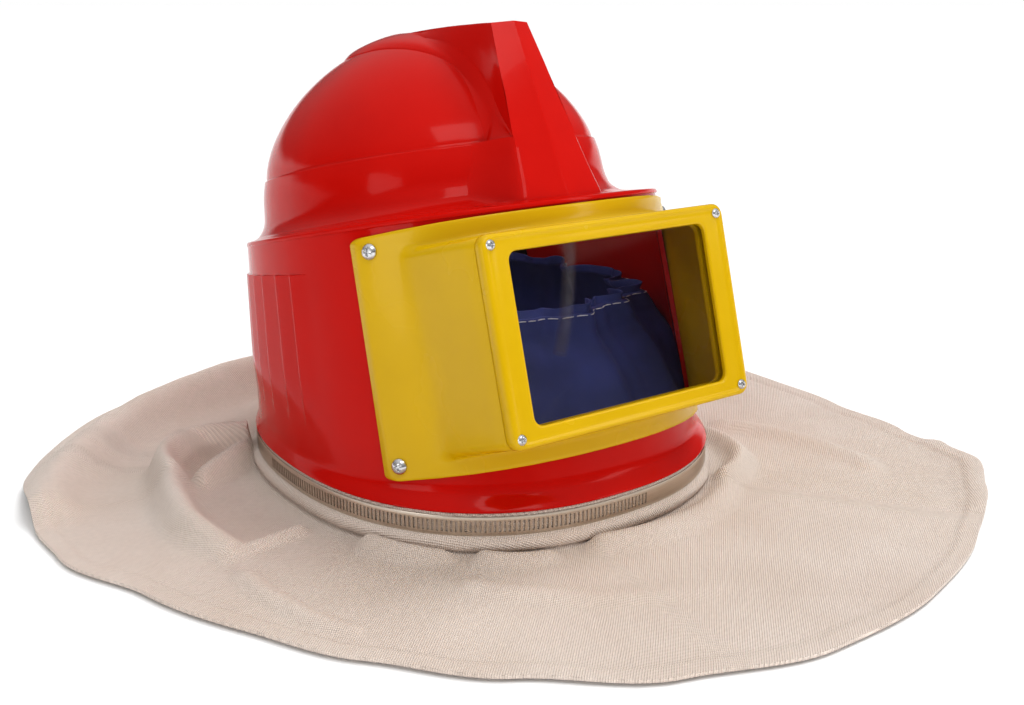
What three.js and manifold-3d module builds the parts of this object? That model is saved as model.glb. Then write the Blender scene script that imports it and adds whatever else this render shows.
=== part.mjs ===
// Sandblasting hood: a moulded shell with a screwed-on window, a canvas cape held by a worm-drive
// band, a gathered neck collar and a short air tube. Millimetres, +Z up. The cape lies on z = 0,
// the window looks along -Y and the wearer's right side is -X. The origin is the middle of the
// cape's footprint.
import * as THREE from 'three';
import { mergeVertices } from 'three/addons/utils/BufferGeometryUtils.js';
import Module from 'manifold-3d';

const wasm = await Module();
wasm.setup();

const DEG = Math.PI / 180;

// Clearances and cloth
const GAP = 0.3;
const CANVAS = 2;

// Shell: rim and neck, level above the table
const SHELL_WALL = 3;
const RIM_HEIGHT = 30;
const RIM_HALF_WIDTH = 151.5;
const RIM_HALF_DEPTH = 167;
const RIM_BEAD = 1.4;
const NECK_LENGTH = 23;
const FLARE_HEIGHT = 9;
const FLARE_SIDE = 3;
const FLARE_FRONT = 9;
const FLARE_BACK = 3.5;

// Shell: brim and crown, leaning back together about the middle of the rim
const CROWN_LEAN = 13.1 * DEG;
const BRIM_HEIGHT = 144.2;
const BRIM_HALF_WIDTH = 140.4;
const BRIM_FRONT = 154;
const BRIM_BACK = 152.5;
const BRIM_LIP = 3.2;
const BRIM_OVERHANG = 2.2;
const CROWN_HALF_WIDTH = 117.5;
const CROWN_FRONT = 109.7;
const CROWN_BACK = 145;
const CROWN_MIDDLE = 12;
const STEP_RISE = 44.5;
const DOME_RISE = 90;
const DOME_PEAK_Y = 22;
const ROUND_SIDES = 40;

// Crest on the crown, ribs round the back of the body
const CREST_TOP = 263;
const CREST_HALF_WIDTH = 14;
const CREST_FRONT = 104;
const CREST_RIDGE = 5.4;
const CREST_SLOPE = 0.3;
const RIB_COUNT_A_SIDE = 10;
const RIB_FIRST_ANGLE = 188 * DEG;
const RIB_PITCH = 6.8 * DEG;
const RIB_HEIGHT = 1.5;
const RIB_LOW = 0.13;
const RIB_HIGH = 0.84;

const RIB_ROOT = -0.8 * SHELL_WALL;

// Window: box with its flange, pane and front frame, square to the leaning crown
const FRAME_WIDTH = 186.8;
const FRAME_HEIGHT = 123.9;
const FRAME_THICK = 7;
const FRAME_CORNER = 7;
const FRAME_LEAN = 3.1 * DEG;
const FACE_Y = -183.8;
const FACE_HEIGHT = 70.1;
const OPENING_WIDTH = 151;
const OPENING_HEIGHT = 101;
const OPENING_CORNER = 6;
const PANE_THICK = 3;
const PANE_LAP = 3;
const BOX_WALL = 3;
const BOX_INSET = 1.2;
const BOX_FLARE = 0.18;
const BOX_RISE = 0.08;
const BOX_DEPTH = 115;
const FLANGE_TOP_HALF = 122.5;
const FLANGE_LOW_HALF = 127.1;
const FLANGE_TOP_DROP = 5.5;
const FLANGE_LOW = -9.5;
const FLANGE_THICK = 3;

// Screws
const FACE_SCREW = { head: 3.6, height: 1.8, shank: 1.6, inset: 6.5 };
const FLANGE_SCREW = { head: 4.6, height: 2.8, shank: 2, inset: 4.7, margin: 12 };
const SHANK_CLEARANCE = 0.3;

// Clamp
const BAND_HEIGHT = 12.7;
const BAND_THICK = 0.8;
const BAND_DROP = 3.4;
const SLOT_HEIGHT = 7.2;
const SLOT_WIDTH = 1.4;
const SLOT_PITCH = 2.75;
const SLOT_FIRST_ANGLE = 173 * DEG;
const SLOT_LAST_ANGLE = 275.6 * DEG;
const HOUSING_LENGTH = 24;
const HOUSING_HEIGHT = 12;
const HOUSING_DEPTH = 9;
const WORM_RADIUS = 4.2;
const WORM_LENGTH = 36;

// Cape
const ROLL_WIDTH = 5.2;
const CAPE_REACH = 340;
const FOLD_HEIGHT = 32;

// Collar
const COLLAR_WALL = 1.5;
const COLLAR_HEIGHT = 76;
const COLLAR_SHIFT = 20;
const COLLAR_GATHER = 0.035;
const COLLAR_SIDES = 33;

// Strap on the inner wall and air tube
const STRAP_WIDTH = 28;
const STRAP_THICK = 1.6;
const STRAP_ANGLE = 36 * DEG;
const TUBE_DIAMETER = 9.5;
const SOCKET_RADIUS = 8.5;
const SOCKET_LENGTH = 14;
const SOCKET_DROP = 8;
const TUBE_FORWARD = 107;

// Crown wall between brim and dome: shares of the rise, half width, front reach and back reach
const CROWN_ROWS = [
  { rise: 0.13, width: 1.064, front: 1.13, back: 1.022 },
  { rise: 0.2, width: 1.038, front: 1.073, back: 1.013 },
  { rise: 0.29, width: 1.018, front: 1.032, back: 1.006 },
  { rise: 0.49, width: 1.0, front: 1.0, back: 1.0 },
  { rise: 0.76, width: 0.988, front: 0.991, back: 0.992 },
  { rise: 0.975, width: 0.972, front: 0.974, back: 0.978 },
  { rise: 1.0, width: 0.958, front: 0.962, back: 0.966 },
];
// Dome above the step: share of the rise, and what is left of its foot there
const DOME_FOOT = { width: 0.954, front: 0.955, back: 0.956 };
const DOME_ROWS = [0.02, 0.18, 0.38, 0.58, 0.76, 0.9, 0.98];
// Crest stations from front to back. y is a share of the crown's length behind the crest's front;
// heights are shares of the crest's height above the brim, half widths of the crest's half width.
const CREST_ROWS = [
  { y: 0.031, top: 1.014, arc: 0.7, side: 0.66, foot: 0.63, halfTop: 1.0, halfArc: 1.26, halfSide: 1.35, halfFoot: 1.43 },
  { y: 0.094, top: 1.036, arc: 0.834, side: 0.79, foot: 0.745, halfTop: 1.0, halfArc: 1.21, halfSide: 1.3, halfFoot: 1.4 },
  { y: 0.192, top: 1.07, arc: 0.975, side: 0.93, foot: 0.87, halfTop: 1.0, halfArc: 1.18, halfSide: 1.4, halfFoot: 1.6 },
  { y: 0.318, top: 1.107, arc: 1.066, side: 1.045, foot: 1.0, halfTop: 0.97, halfArc: 1.15, halfSide: 1.9, halfFoot: 2.6 },
  { y: 0.455, top: 1.138, arc: 1.125, side: 1.105, foot: 1.03, halfTop: 0.93, halfArc: 1.1, halfSide: 2.3, halfFoot: 3.35 },
  { y: 0.56, top: 1.145, arc: 1.135, side: 1.1, foot: 1.025, halfTop: 0.8, halfArc: 1.0, halfSide: 2.2, halfFoot: 3.2 },
  { y: 0.65, top: 1.11, arc: 1.1, side: 1.06, foot: 0.99, halfTop: 0.5, halfArc: 0.6, halfSide: 1.6, halfFoot: 2.3 },
];
// The cape's outline: reach from the hood's axis as a share of the cape's reach
const OUTLINE_ROWS = [
  { angle: -180, reach: 0.888 }, { angle: -165, reach: 0.836 }, { angle: -150, reach: 0.832 },
  { angle: -135, reach: 0.857 }, { angle: -120, reach: 0.896 }, { angle: -105, reach: 0.952 },
  { angle: -90, reach: 0.994 }, { angle: -75, reach: 1.01 }, { angle: -60, reach: 1.024 },
  { angle: -48, reach: 1.046 }, { angle: -40, reach: 1.064 }, { angle: -35, reach: 1.025 },
  { angle: -28, reach: 0.974 }, { angle: -16, reach: 0.914 }, { angle: -2, reach: 0.892 },
  { angle: 15, reach: 0.9 }, { angle: 40, reach: 0.895 }, { angle: 65, reach: 0.88 },
  { angle: 90, reach: 0.882 }, { angle: 115, reach: 0.9 }, { angle: 135, reach: 0.925 },
  { angle: 155, reach: 0.93 }, { angle: 170, reach: 0.905 }, { angle: 180, reach: 0.888 },
];
// Folds of the cape: a crest from one polar place over a middle one to another. Share 0 is at the
// roll, share 1 at the hem; height and half width are shares of the main fold's height.
const FOLDS = [
  { name: 'rear', from: [48, 0.4], over: [120, 0.52], to: [169, 0.99], height: 1, half: 0.75 },
  { name: 'arch', from: [149, 0.02], over: [149, 0.46], to: [166, 0.4], height: 0.66, half: 0.4 },
  { name: 'tail', from: [166, 0.4], over: [176, 0.46], to: [193, 0.5], height: 0.42, half: 0.5 },
  { name: 'inner', from: [154, 0.04], over: [159, 0.12], to: [164, 0.26], height: 0.36, half: 0.3 },
  { name: 'crease', from: [197, 0.14], over: [196, 0.33], to: [195, 0.5], height: 0.16, half: 0.2 },
  { name: 'left', from: [214, 0.04], over: [222, 0.07], to: [229, 0.05], height: 0.24, half: 0.32 },
  { name: 'front', from: [238, 0.05], over: [244, 0.09], to: [250, 0.05], height: 0.2, half: 0.3 },
  { name: 'long', from: [262, 0.05], over: [290, 0.12], to: [306, 0.06], height: 0.26, half: 0.4 },
  { name: 'right', from: [306, 0.06], over: [318, 0.16], to: [334, 0.1], height: 0.36, half: 0.34 },
  { name: 'dimple', from: [340, 0.25], over: [330, 0.5], to: [318, 0.6], height: 0.13, half: 0.5 },
  { name: 'corner', from: [308, 0.99], over: [318, 0.97], to: [326, 0.99], height: 0.2, half: 0.5 },
];
const SKIRT_SHARES = [0.05, 0.15, 0.3, 0.5, 0.75, 1.0];
// Collar from its base to its frill: shares of the collar's height and of the neck's reaches
const COLLAR_ROWS = [
  { rise: 0.0, side: 0.955, front: 0.955, back: 0.955, wave: 0.0 },
  { rise: 0.45, side: 0.9, front: 0.78, back: 0.93, wave: 0.5 },
  { rise: 0.84, side: 0.8, front: 0.53, back: 0.84, wave: 0.9 },
  { rise: 1.04, side: 0.68, front: 0.5, back: 0.68, wave: 1.0 },
  { rise: 0.98, side: 0.56, front: 0.42, back: 0.56, wave: 0.7 },
  { rise: 1.12, side: 0.53, front: 0.41, back: 0.53, wave: 1.2 },
];

// Materials
const PAINT = {
  red: { color: 0xb01208, roughness: 0.28 },
  yellow: { color: 0xd9a900, roughness: 0.3 },
  steel: { color: 0xb0a396, roughness: 0.35, metalness: 0.9 },
  chrome: { color: 0xc8c8cc, roughness: 0.15, metalness: 1 },
  canvas: { color: 0xe6d5c2, roughness: 0.95 },
  navy: { color: 0x14173a, roughness: 0.8 },
  black: { color: 0x0c0c0e, roughness: 0.8 },
  clear: { color: 0xe4ecee, roughness: 0.08, transparent: true, opacity: 0.35 },
};

const hood = new THREE.Group();

function addPiece(name, paint, geometry) {
  const mesh = new THREE.Mesh(geometry, new THREE.MeshStandardMaterial(PAINT[paint]));
  mesh.name = name;
  hood.add(mesh);
  return mesh;
}

// Solids
function geometryOf(vertices, triangles) {
  const geometry = new THREE.BufferGeometry();
  geometry.setAttribute('position', new THREE.Float32BufferAttribute(vertices, 3));
  geometry.setIndex(triangles);
  return geometry;
}

function solidOf(geometry) {
  const bare = geometry.clone();
  bare.deleteAttribute('normal');
  bare.deleteAttribute('uv');
  const merged = mergeVertices(bare, 1e-4);
  return new wasm.Manifold(new wasm.Mesh({
    numProp: 3,
    vertProperties: new Float32Array(merged.attributes.position.array),
    triVerts: new Uint32Array(merged.index.array),
  }));
}

const largestOf = (solid) => solid.decompose().sort((a, b) => b.volume() - a.volume())[0];

function geometryFrom(solid) {
  const mesh = solid.getMesh();
  return geometryOf(Array.from(mesh.vertProperties), Array.from(mesh.triVerts));
}

// A stack of rings with the same number of points, closed by a fan at both ends.
// The rings run from bottom to top and turn counter-clockwise seen from above.
function stackOf(rings) {
  const sides = rings[0].length;
  const vertices = rings.flat().flatMap((point) => point.toArray());
  const triangles = [];
  for (let row = 0; row + 1 < rings.length; row += 1) {
    for (let side = 0; side < sides; side += 1) {
      const next = (side + 1) % sides;
      const a = row * sides + side;
      const b = row * sides + next;
      triangles.push(a, b, b + sides, a, b + sides, a + sides);
    }
  }
  for (const [row, turn] of [[0, -1], [rings.length - 1, 1]]) {
    const centre = rings[row]
      .reduce((sum, point) => sum.add(point), new THREE.Vector3())
      .divideScalar(sides);
    const middle = vertices.length / 3;
    vertices.push(...centre.toArray());
    for (let side = 0; side < sides; side += 1) {
      const a = row * sides + side;
      const b = row * sides + (side + 1) % sides;
      triangles.push(...(turn > 0 ? [a, b, middle] : [b, a, middle]));
    }
  }
  return geometryOf(vertices, triangles);
}

// A closed section carried round a closed loop: sections[i] holds the points of one section,
// which turn clockwise seen along the way round.
function hoopOf(sections) {
  const count = sections.length;
  const points = sections[0].length;
  const vertices = sections.flat().flatMap((point) => point.toArray());
  const triangles = [];
  for (let i = 0; i < count; i += 1) {
    for (let j = 0; j < points; j += 1) {
      const a = i * points + j;
      const b = i * points + (j + 1) % points;
      const c = ((i + 1) % count) * points + (j + 1) % points;
      const d = ((i + 1) % count) * points + j;
      triangles.push(a, c, b, a, d, c);
    }
  }
  return geometryOf(vertices, triangles);
}

// Rings: a superellipse with its own reach to the front and to the back
function ringPoint(section, angle, offset = 0) {
  const c = Math.cos(angle);
  const s = Math.sin(angle);
  const power = 2 / (s < 0 ? section.frontPower : section.backPower);
  const middle = section.middle ?? 0;
  const reach = (s < 0 ? section.front + middle : section.back - middle) + offset;
  return new THREE.Vector3(
    (section.halfWidth + offset) * Math.sign(c) * Math.abs(c) ** power,
    middle + reach * Math.sign(s) * Math.abs(s) ** power,
    section.height,
  );
}

function leaned(point) {
  const c = Math.cos(CROWN_LEAN);
  const s = Math.sin(CROWN_LEAN);
  return new THREE.Vector3(
    point.x,
    point.y * c + point.z * s,
    RIM_HEIGHT - point.y * s + point.z * c,
  );
}

function placedPoint(section, angle, offset) {
  const point = ringPoint(section, angle, offset);
  return section.leans ? leaned(point) : point.setZ(point.z + RIM_HEIGHT);
}

const sideAngles = (sides) => Array.from({ length: sides }, (_, i) => (i / sides - 0.5) * 2 * Math.PI);
const ringOf = (section, offset = 0, sides = ROUND_SIDES) =>
  sideAngles(sides).map((angle) => placedPoint(section, angle, offset));

// Sections of the shell. Heights count from the rim's plane.
const NECK_INSET = CANVAS + BAND_THICK + 2 * GAP;
const RIM = {
  height: 0, halfWidth: RIM_HALF_WIDTH, front: RIM_HALF_DEPTH, back: RIM_HALF_DEPTH,
  frontPower: 2.3, backPower: 2.3,
};
const NECK = {
  ...RIM,
  halfWidth: RIM_HALF_WIDTH - NECK_INSET,
  front: RIM_HALF_DEPTH - NECK_INSET,
  back: RIM_HALF_DEPTH - NECK_INSET,
};
const CREASE = {
  height: FLARE_HEIGHT,
  halfWidth: RIM_HALF_WIDTH - FLARE_SIDE,
  front: RIM_HALF_DEPTH - FLARE_FRONT,
  back: RIM_HALF_DEPTH - FLARE_BACK,
  middle: 2,
  frontPower: 2.25,
  backPower: 2.3,
};
const BRIM = {
  height: BRIM_HEIGHT, halfWidth: BRIM_HALF_WIDTH, front: BRIM_FRONT, back: BRIM_BACK,
  frontPower: 2.12, backPower: 2.2, leans: true,
};
const BODY_TOP = {
  ...BRIM,
  halfWidth: BRIM_HALF_WIDTH - BRIM_OVERHANG / 4,
  front: BRIM_FRONT - BRIM_OVERHANG,
  back: BRIM_BACK - BRIM_OVERHANG / 3,
};

function crownSection(share) {
  return {
    height: BRIM_HEIGHT + share.rise * STEP_RISE,
    halfWidth: CROWN_HALF_WIDTH * share.width,
    front: CROWN_FRONT * share.front,
    back: CROWN_BACK * share.back,
    middle: CROWN_MIDDLE,
    frontPower: 2.12,
    backPower: 2.4,
    leans: true,
  };
}

function domeSection(rise) {
  const left = (1 - rise ** 1.54) ** (1 / 1.9);
  const middle = THREE.MathUtils.lerp(CROWN_MIDDLE, DOME_PEAK_Y, rise);
  return {
    height: BRIM_HEIGHT + STEP_RISE + rise * DOME_RISE,
    halfWidth: CROWN_HALF_WIDTH * DOME_FOOT.width * left,
    front: (CROWN_FRONT * DOME_FOOT.front + CROWN_MIDDLE) * left - middle,
    back: (CROWN_BACK * DOME_FOOT.back - CROWN_MIDDLE) * left + middle,
    middle,
    frontPower: 2.12,
    backPower: 2.45,
    leans: true,
  };
}

// The body's wall is straight from the crease to the brim; share 0 is the crease, 1 the brim.
function bodyPoint(angle, share, offset) {
  return placedPoint(CREASE, angle, offset).lerp(placedPoint(BODY_TOP, angle, offset), share);
}

// Body wall as a full solid, grown by an offset and kept below the brim by a clearance
function bodySolid(offset, below) {
  const brimShare = 1 - below / BRIM_HEIGHT;
  const row = (share) => sideAngles(ROUND_SIDES).map((angle) => bodyPoint(angle, share, offset));
  return solidOf(stackOf([row(-0.12), row(0), row(0.5), row(brimShare)]));
}

// Shell
const lipSection = { ...BRIM, height: BRIM_HEIGHT + BRIM_LIP, front: BRIM_FRONT - 0.8 };
const outerRings = [
  ringOf({ ...NECK, height: -NECK_LENGTH }),
  ringOf({ ...NECK, height: -RIM_BEAD }),
  ringOf({ ...RIM, height: -RIM_BEAD + 0.01 }, -0.4),
  ringOf(RIM),
  ringOf(CREASE),
  ringOf(BODY_TOP),
  ringOf({ ...BRIM, height: BRIM_HEIGHT + 0.02 }),
  ringOf(lipSection),
  ...CROWN_ROWS.map((row) => ringOf(crownSection(row))),
  ...DOME_ROWS.map((rise) => ringOf(domeSection(rise))),
];
const innerRows = [CROWN_ROWS[0], CROWN_ROWS[3]];
const innerDome = DOME_ROWS.filter((rise, row) => row % 2 === 0 && rise < 0.94);

// The hollow inside the shell, drawn in by a further margin for what has to stay clear of it
function hollowSolid(margin) {
  const inward = -SHELL_WALL - margin;
  const shelf = { ...BODY_TOP, height: BRIM_HEIGHT - margin };
  const lowered = (section) => ({ ...section, height: section.height - SHELL_WALL - margin });
  return solidOf(stackOf([
    ringOf({ ...NECK, height: -NECK_LENGTH - 2 }, inward),
    ringOf(NECK, inward),
    ringOf(CREASE, inward),
    ringOf(shelf, inward),
    ...innerRows.map((row) => ringOf(lowered(crownSection(row)), inward)),
    ...innerDome.map((rise) => ringOf(lowered(domeSection(rise)), inward)),
  ]));
}

// Crest: a hollow-backed wedge from the crown's front over its top. Each station is drawn in the
// leaning frame as a closed section from its foot on one side over the top to the other.
function crestStation(row, inset, front) {
  const span = CREST_TOP - BRIM_HEIGHT;
  const high = (share) => BRIM_HEIGHT + share * span - inset;
  const wide = (share) => share * CREST_HALF_WIDTH - inset;
  const back = -CREST_FRONT + row.y * (CROWN_FRONT + CROWN_BACK) + (front ? inset : 0);
  const place = (x, z, proud) => {
    const y = front ? back - CREST_SLOPE * (CREST_TOP - z) - proud : back;
    return leaned(new THREE.Vector3(x, y, z));
  };
  const foot = high(row.foot) - CREST_HALF_WIDTH;
  return [
    place(0, foot, CREST_RIDGE),
    place(wide(row.halfFoot), foot, 0),
    place(wide(row.halfFoot), high(row.foot), 0),
    place(wide(row.halfSide), high(row.side), 0),
    place(wide(row.halfArc), high(row.arc), 0),
    place(wide(row.halfTop), high(row.top), 0),
    place(0, high(row.top), CREST_RIDGE),
    place(-wide(row.halfTop), high(row.top), 0),
    place(-wide(row.halfArc), high(row.arc), 0),
    place(-wide(row.halfSide), high(row.side), 0),
    place(-wide(row.halfFoot), high(row.foot), 0),
    place(-wide(row.halfFoot), foot, 0),
  ];
}

const CREST_NOSE = {
  y: 0, top: 1, arc: 0.39, side: 0.3, foot: 0.2, halfTop: 1, halfArc: 1.72, halfSide: 1.95, halfFoot: 2.3,
};
function crestSolid(inset) {
  const stations = CREST_ROWS.map((row) => crestStation(row, inset, false));
  stations.unshift(crestStation(CREST_NOSE, inset, true));
  return solidOf(stackOf(stations.map((station) => station.reverse())));
}

// One rib: a long wedge, sharp on its rear edge and running out to the front
function ribSolid(angle, side) {
  const rows = [RIB_LOW, RIB_HIGH].map((share) => {
    const height = share === RIB_LOW ? RIB_HEIGHT / 5 : RIB_HEIGHT;
    const out = (turn, offset) => bodyPoint(angle + turn * side, share, offset);
    const rear = [out(0, height), out(0, RIB_ROOT)];
    const run = [out(-RIB_PITCH * 0.9, RIB_ROOT), out(-RIB_PITCH * 0.9, 0)];
    return side > 0 ? [...rear, ...run].reverse() : [...rear, ...run];
  });
  return solidOf(stackOf(rows));
}

let shell = solidOf(stackOf(outerRings)).add(crestSolid(0));
for (let rib = 0; rib < RIB_COUNT_A_SIDE; rib += 1) {
  const turn = RIB_FIRST_ANGLE - rib * RIB_PITCH;
  shell = shell.add(ribSolid(turn, -1)).add(ribSolid(Math.PI - turn, 1));
}
shell = shell.subtract(largestOf(hollowSolid(0).add(crestSolid(SHELL_WALL))));

// Window box. The face's frame: x across, u up the leaning face, depth behind the face.
function facePoint(x, u, depth) {
  const c = Math.cos(FRAME_LEAN);
  const s = Math.sin(FRAME_LEAN);
  return leaned(new THREE.Vector3(
    x,
    FACE_Y + u * s + depth * c,
    FACE_HEIGHT + u * c - depth * s,
  ));
}

const faceMatrix = new THREE.Matrix4().makeBasis(
  facePoint(1, 0, 0).sub(facePoint(0, 0, 0)),
  facePoint(0, 1, 0).sub(facePoint(0, 0, 0)),
  facePoint(0, 0, -1).sub(facePoint(0, 0, 0)),
).setPosition(facePoint(0, 0, 0));

function roundedRectangle(path, width, height, corner) {
  const x = width / 2;
  const y = height / 2;
  path.moveTo(-x + corner, -y);
  path.lineTo(x - corner, -y);
  path.absarc(x - corner, -y + corner, corner, -Math.PI / 2, 0);
  path.lineTo(x, y - corner);
  path.absarc(x - corner, y - corner, corner, 0, Math.PI / 2);
  path.lineTo(-x + corner, y);
  path.absarc(-x + corner, y - corner, corner, Math.PI / 2, Math.PI);
  path.lineTo(-x, -y + corner);
  path.absarc(-x + corner, -y + corner, corner, Math.PI, 1.5 * Math.PI);
  return path;
}

// A plate parallel to the face, from one depth behind it to another
function facePlate(width, height, corner, near, far) {
  const outline = roundedRectangle(new THREE.Shape(), width, height, corner);
  const plate = new THREE.ExtrudeGeometry(outline, {
    depth: far - near, bevelEnabled: false, curveSegments: 3,
  });
  return plate.translate(0, 0, -far).applyMatrix4(faceMatrix);
}

// The box widens towards the body. Its section at a depth behind the face, drawn in by an inset
function boxRing(depth, inset) {
  const across = FRAME_WIDTH / 2 - BOX_INSET + depth * BOX_FLARE - inset;
  const up = FRAME_HEIGHT / 2 - BOX_INSET - inset + depth * BOX_RISE * 0.3;
  const down = FRAME_HEIGHT / 2 - BOX_INSET - inset + depth * BOX_RISE;
  const corner = FRAME_CORNER - BOX_INSET - Math.min(inset, 2);
  const points = [];
  for (const [sx, sz, first] of [[-1, -1, 180], [1, -1, 270], [1, 1, 0], [-1, 1, 90]]) {
    for (const step of [0, 30, 60, 90]) {
      const turn = (first + step) * DEG;
      points.push(facePoint(
        sx * (across - corner) + corner * Math.cos(turn),
        sz * ((sz > 0 ? up : down) - corner) + corner * Math.sin(turn),
        depth,
      ));
    }
  }
  return points;
}

const boxFront = FRAME_THICK + GAP;
function boxSolid(near, inset) {
  return solidOf(stackOf([boxRing(BOX_DEPTH, inset), boxRing(near, inset)]));
}

// Flange outline, seen square to the leaning crown, carried back through the body's front half
function flangePrism() {
  const top = BRIM_HEIGHT - FLANGE_TOP_DROP;
  const outline = new THREE.Shape([
    [-FLANGE_LOW_HALF, FLANGE_LOW], [FLANGE_LOW_HALF, FLANGE_LOW], [FLANGE_TOP_HALF, top],
    [FLANGE_TOP_HALF / 2, BRIM_HEIGHT], [-FLANGE_TOP_HALF / 2, BRIM_HEIGHT], [-FLANGE_TOP_HALF, top],
  ].map(([x, z]) => new THREE.Vector2(x, z)));
  const prism = new THREE.ExtrudeGeometry(outline, {
    depth: BRIM_FRONT, bevelEnabled: false,
  });
  const across = leaned(new THREE.Vector3(1, 0, 0)).sub(leaned(new THREE.Vector3()));
  const up = leaned(new THREE.Vector3(0, 0, 1)).sub(leaned(new THREE.Vector3()));
  const forward = leaned(new THREE.Vector3(0, -1, 0)).sub(leaned(new THREE.Vector3()));
  const seat = leaned(new THREE.Vector3(0, -40, 0));
  return solidOf(prism.applyMatrix4(new THREE.Matrix4().makeBasis(across, up, forward).setPosition(seat)));
}

const tunnel = boxSolid(boxFront + BOX_WALL, BOX_WALL);
const sight = solidOf(facePlate(OPENING_WIDTH, OPENING_HEIGHT, OPENING_CORNER, -1, boxFront + BOX_WALL + 1));
const flange = bodySolid(GAP + FLANGE_THICK, 2 * GAP).intersect(flangePrism());
let box = boxSolid(boxFront, 0)
  .add(flange)
  .subtract(bodySolid(GAP, -2))
  .subtract(solidOf(stackOf([ringOf(BODY_TOP, 8), ringOf({ ...BODY_TOP, height: BRIM_HEIGHT + 40 }, 8)])))
  .subtract(tunnel)
  .subtract(sight);
shell = shell.subtract(boxSolid(-1, BOX_WALL + 1));

// Front frame with a pocket for the pane behind it
const paneWidth = OPENING_WIDTH + 2 * PANE_LAP;
const paneHeight = OPENING_HEIGHT + 2 * PANE_LAP;
const paneNear = FRAME_THICK - PANE_THICK - GAP;
let frontFrame = solidOf(facePlate(FRAME_WIDTH, FRAME_HEIGHT, FRAME_CORNER, 0, FRAME_THICK))
  .subtract(sight)
  .subtract(solidOf(facePlate(
    paneWidth + 2 * GAP, paneHeight + 2 * GAP, OPENING_CORNER, paneNear - GAP, FRAME_THICK + 1,
  )));
const pane = facePlate(paneWidth, paneHeight, OPENING_CORNER, paneNear, paneNear + PANE_THICK);

// Screws: a domed head on a shank, along +Z before they are placed
function screwGeometry(screw, length) {
  const profile = [
    [0, -length], [screw.shank, -length], [screw.shank, 0], [screw.head, 0],
    [screw.head, screw.height * 0.4], [screw.head * 0.7, screw.height * 0.85], [0, screw.height],
  ].map(([x, y]) => new THREE.Vector2(x, y));
  return new THREE.LatheGeometry(profile, 8).rotateX(Math.PI / 2);
}

function shankHole(screw, length, matrix) {
  const radius = screw.shank + SHANK_CLEARANCE;
  const hole = new THREE.CylinderGeometry(radius, radius, 2 * length, 8).rotateX(Math.PI / 2);
  return solidOf(hole.applyMatrix4(matrix));
}

// A frame whose +Z axis is a given direction, at a given place
function facing(place, direction) {
  const turn = new THREE.Quaternion().setFromUnitVectors(new THREE.Vector3(0, 0, 1), direction);
  return new THREE.Matrix4().compose(place, turn, new THREE.Vector3(1, 1, 1));
}

const faceNormal = facePoint(0, 0, -1).sub(facePoint(0, 0, 0)).normalize();
for (const [side, level, name] of [[-1, 1, 'upper_right'], [1, 1, 'upper_left'], [-1, -1, 'lower_right'], [1, -1, 'lower_left']]) {
  const x = side * (FRAME_WIDTH / 2 - FACE_SCREW.inset);
  const u = level * (FRAME_HEIGHT / 2 - FACE_SCREW.inset);
  const matrix = facing(facePoint(x, u, -GAP), faceNormal);
  const length = FRAME_THICK + 2 * GAP + BOX_WALL - 1;
  frontFrame = frontFrame.subtract(shankHole(FACE_SCREW, length + 1.3, matrix));
  box = box.subtract(shankHole(FACE_SCREW, length + BOX_WALL, matrix));
  addPiece(`face_screw_${name}`, 'chrome', screwGeometry(FACE_SCREW, length).applyMatrix4(matrix));
}

// Place on the body's wall: the angle at which the wall is so far from the middle, by halving
function wallPlace(across, share, offset) {
  let low = -Math.PI / 2;
  let high = 0;
  for (let step = 0; step < 40; step += 1) {
    const angle = (low + high) / 2;
    if (bodyPoint(angle, share, offset).x < across) low = angle;
    else high = angle;
  }
  return (low + high) / 2;
}

for (const [side, level, name] of [[-1, 1, 'upper_right'], [1, 1, 'upper_left'], [-1, -1, 'lower_right'], [1, -1, 'lower_left']]) {
  const share = level > 0
    ? 1 - FLANGE_SCREW.margin / (BRIM_HEIGHT - FLARE_HEIGHT)
    : FLANGE_SCREW.margin / (BRIM_HEIGHT - FLARE_HEIGHT);
  const across = (level > 0 ? FLANGE_TOP_HALF : FLANGE_LOW_HALF) - FLANGE_SCREW.inset;
  const angle = wallPlace(across, share, GAP + FLANGE_THICK);
  const at = (turn, up) => bodyPoint(angle + turn, share + up, GAP + FLANGE_THICK);
  const along = at(0.01, 0).sub(at(-0.01, 0));
  const normal = along.cross(at(0, 0.02).sub(at(0, -0.02))).normalize();
  const seat = at(0, 0).addScaledVector(normal, GAP);
  seat.x *= side;
  normal.x *= side;
  const matrix = facing(seat, normal);
  const length = FLANGE_THICK + SHELL_WALL + 3 * GAP;
  box = box.subtract(shankHole(FLANGE_SCREW, length, matrix));
  shell = shell.subtract(shankHole(FLANGE_SCREW, 2 * length, matrix));
  addPiece(`flange_screw_${name}`, 'chrome', screwGeometry(FLANGE_SCREW, length).applyMatrix4(matrix));
}

addPiece('shell', 'red', geometryFrom(largestOf(shell)));
addPiece('window_box', 'yellow', geometryFrom(largestOf(box)));
addPiece('front_frame', 'yellow', geometryFrom(frontFrame));
addPiece('window_pane', 'clear', pane);

// Clamp band round the canvas, slotted at the front and the wearer's right
const bandInner = GAP + CANVAS + GAP;
const bandHigh = -BAND_DROP;
const bandLow = bandHigh - BAND_HEIGHT;
const neckPoint = (angle, offset, height) => placedPoint({ ...NECK, height }, angle, offset);

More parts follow.
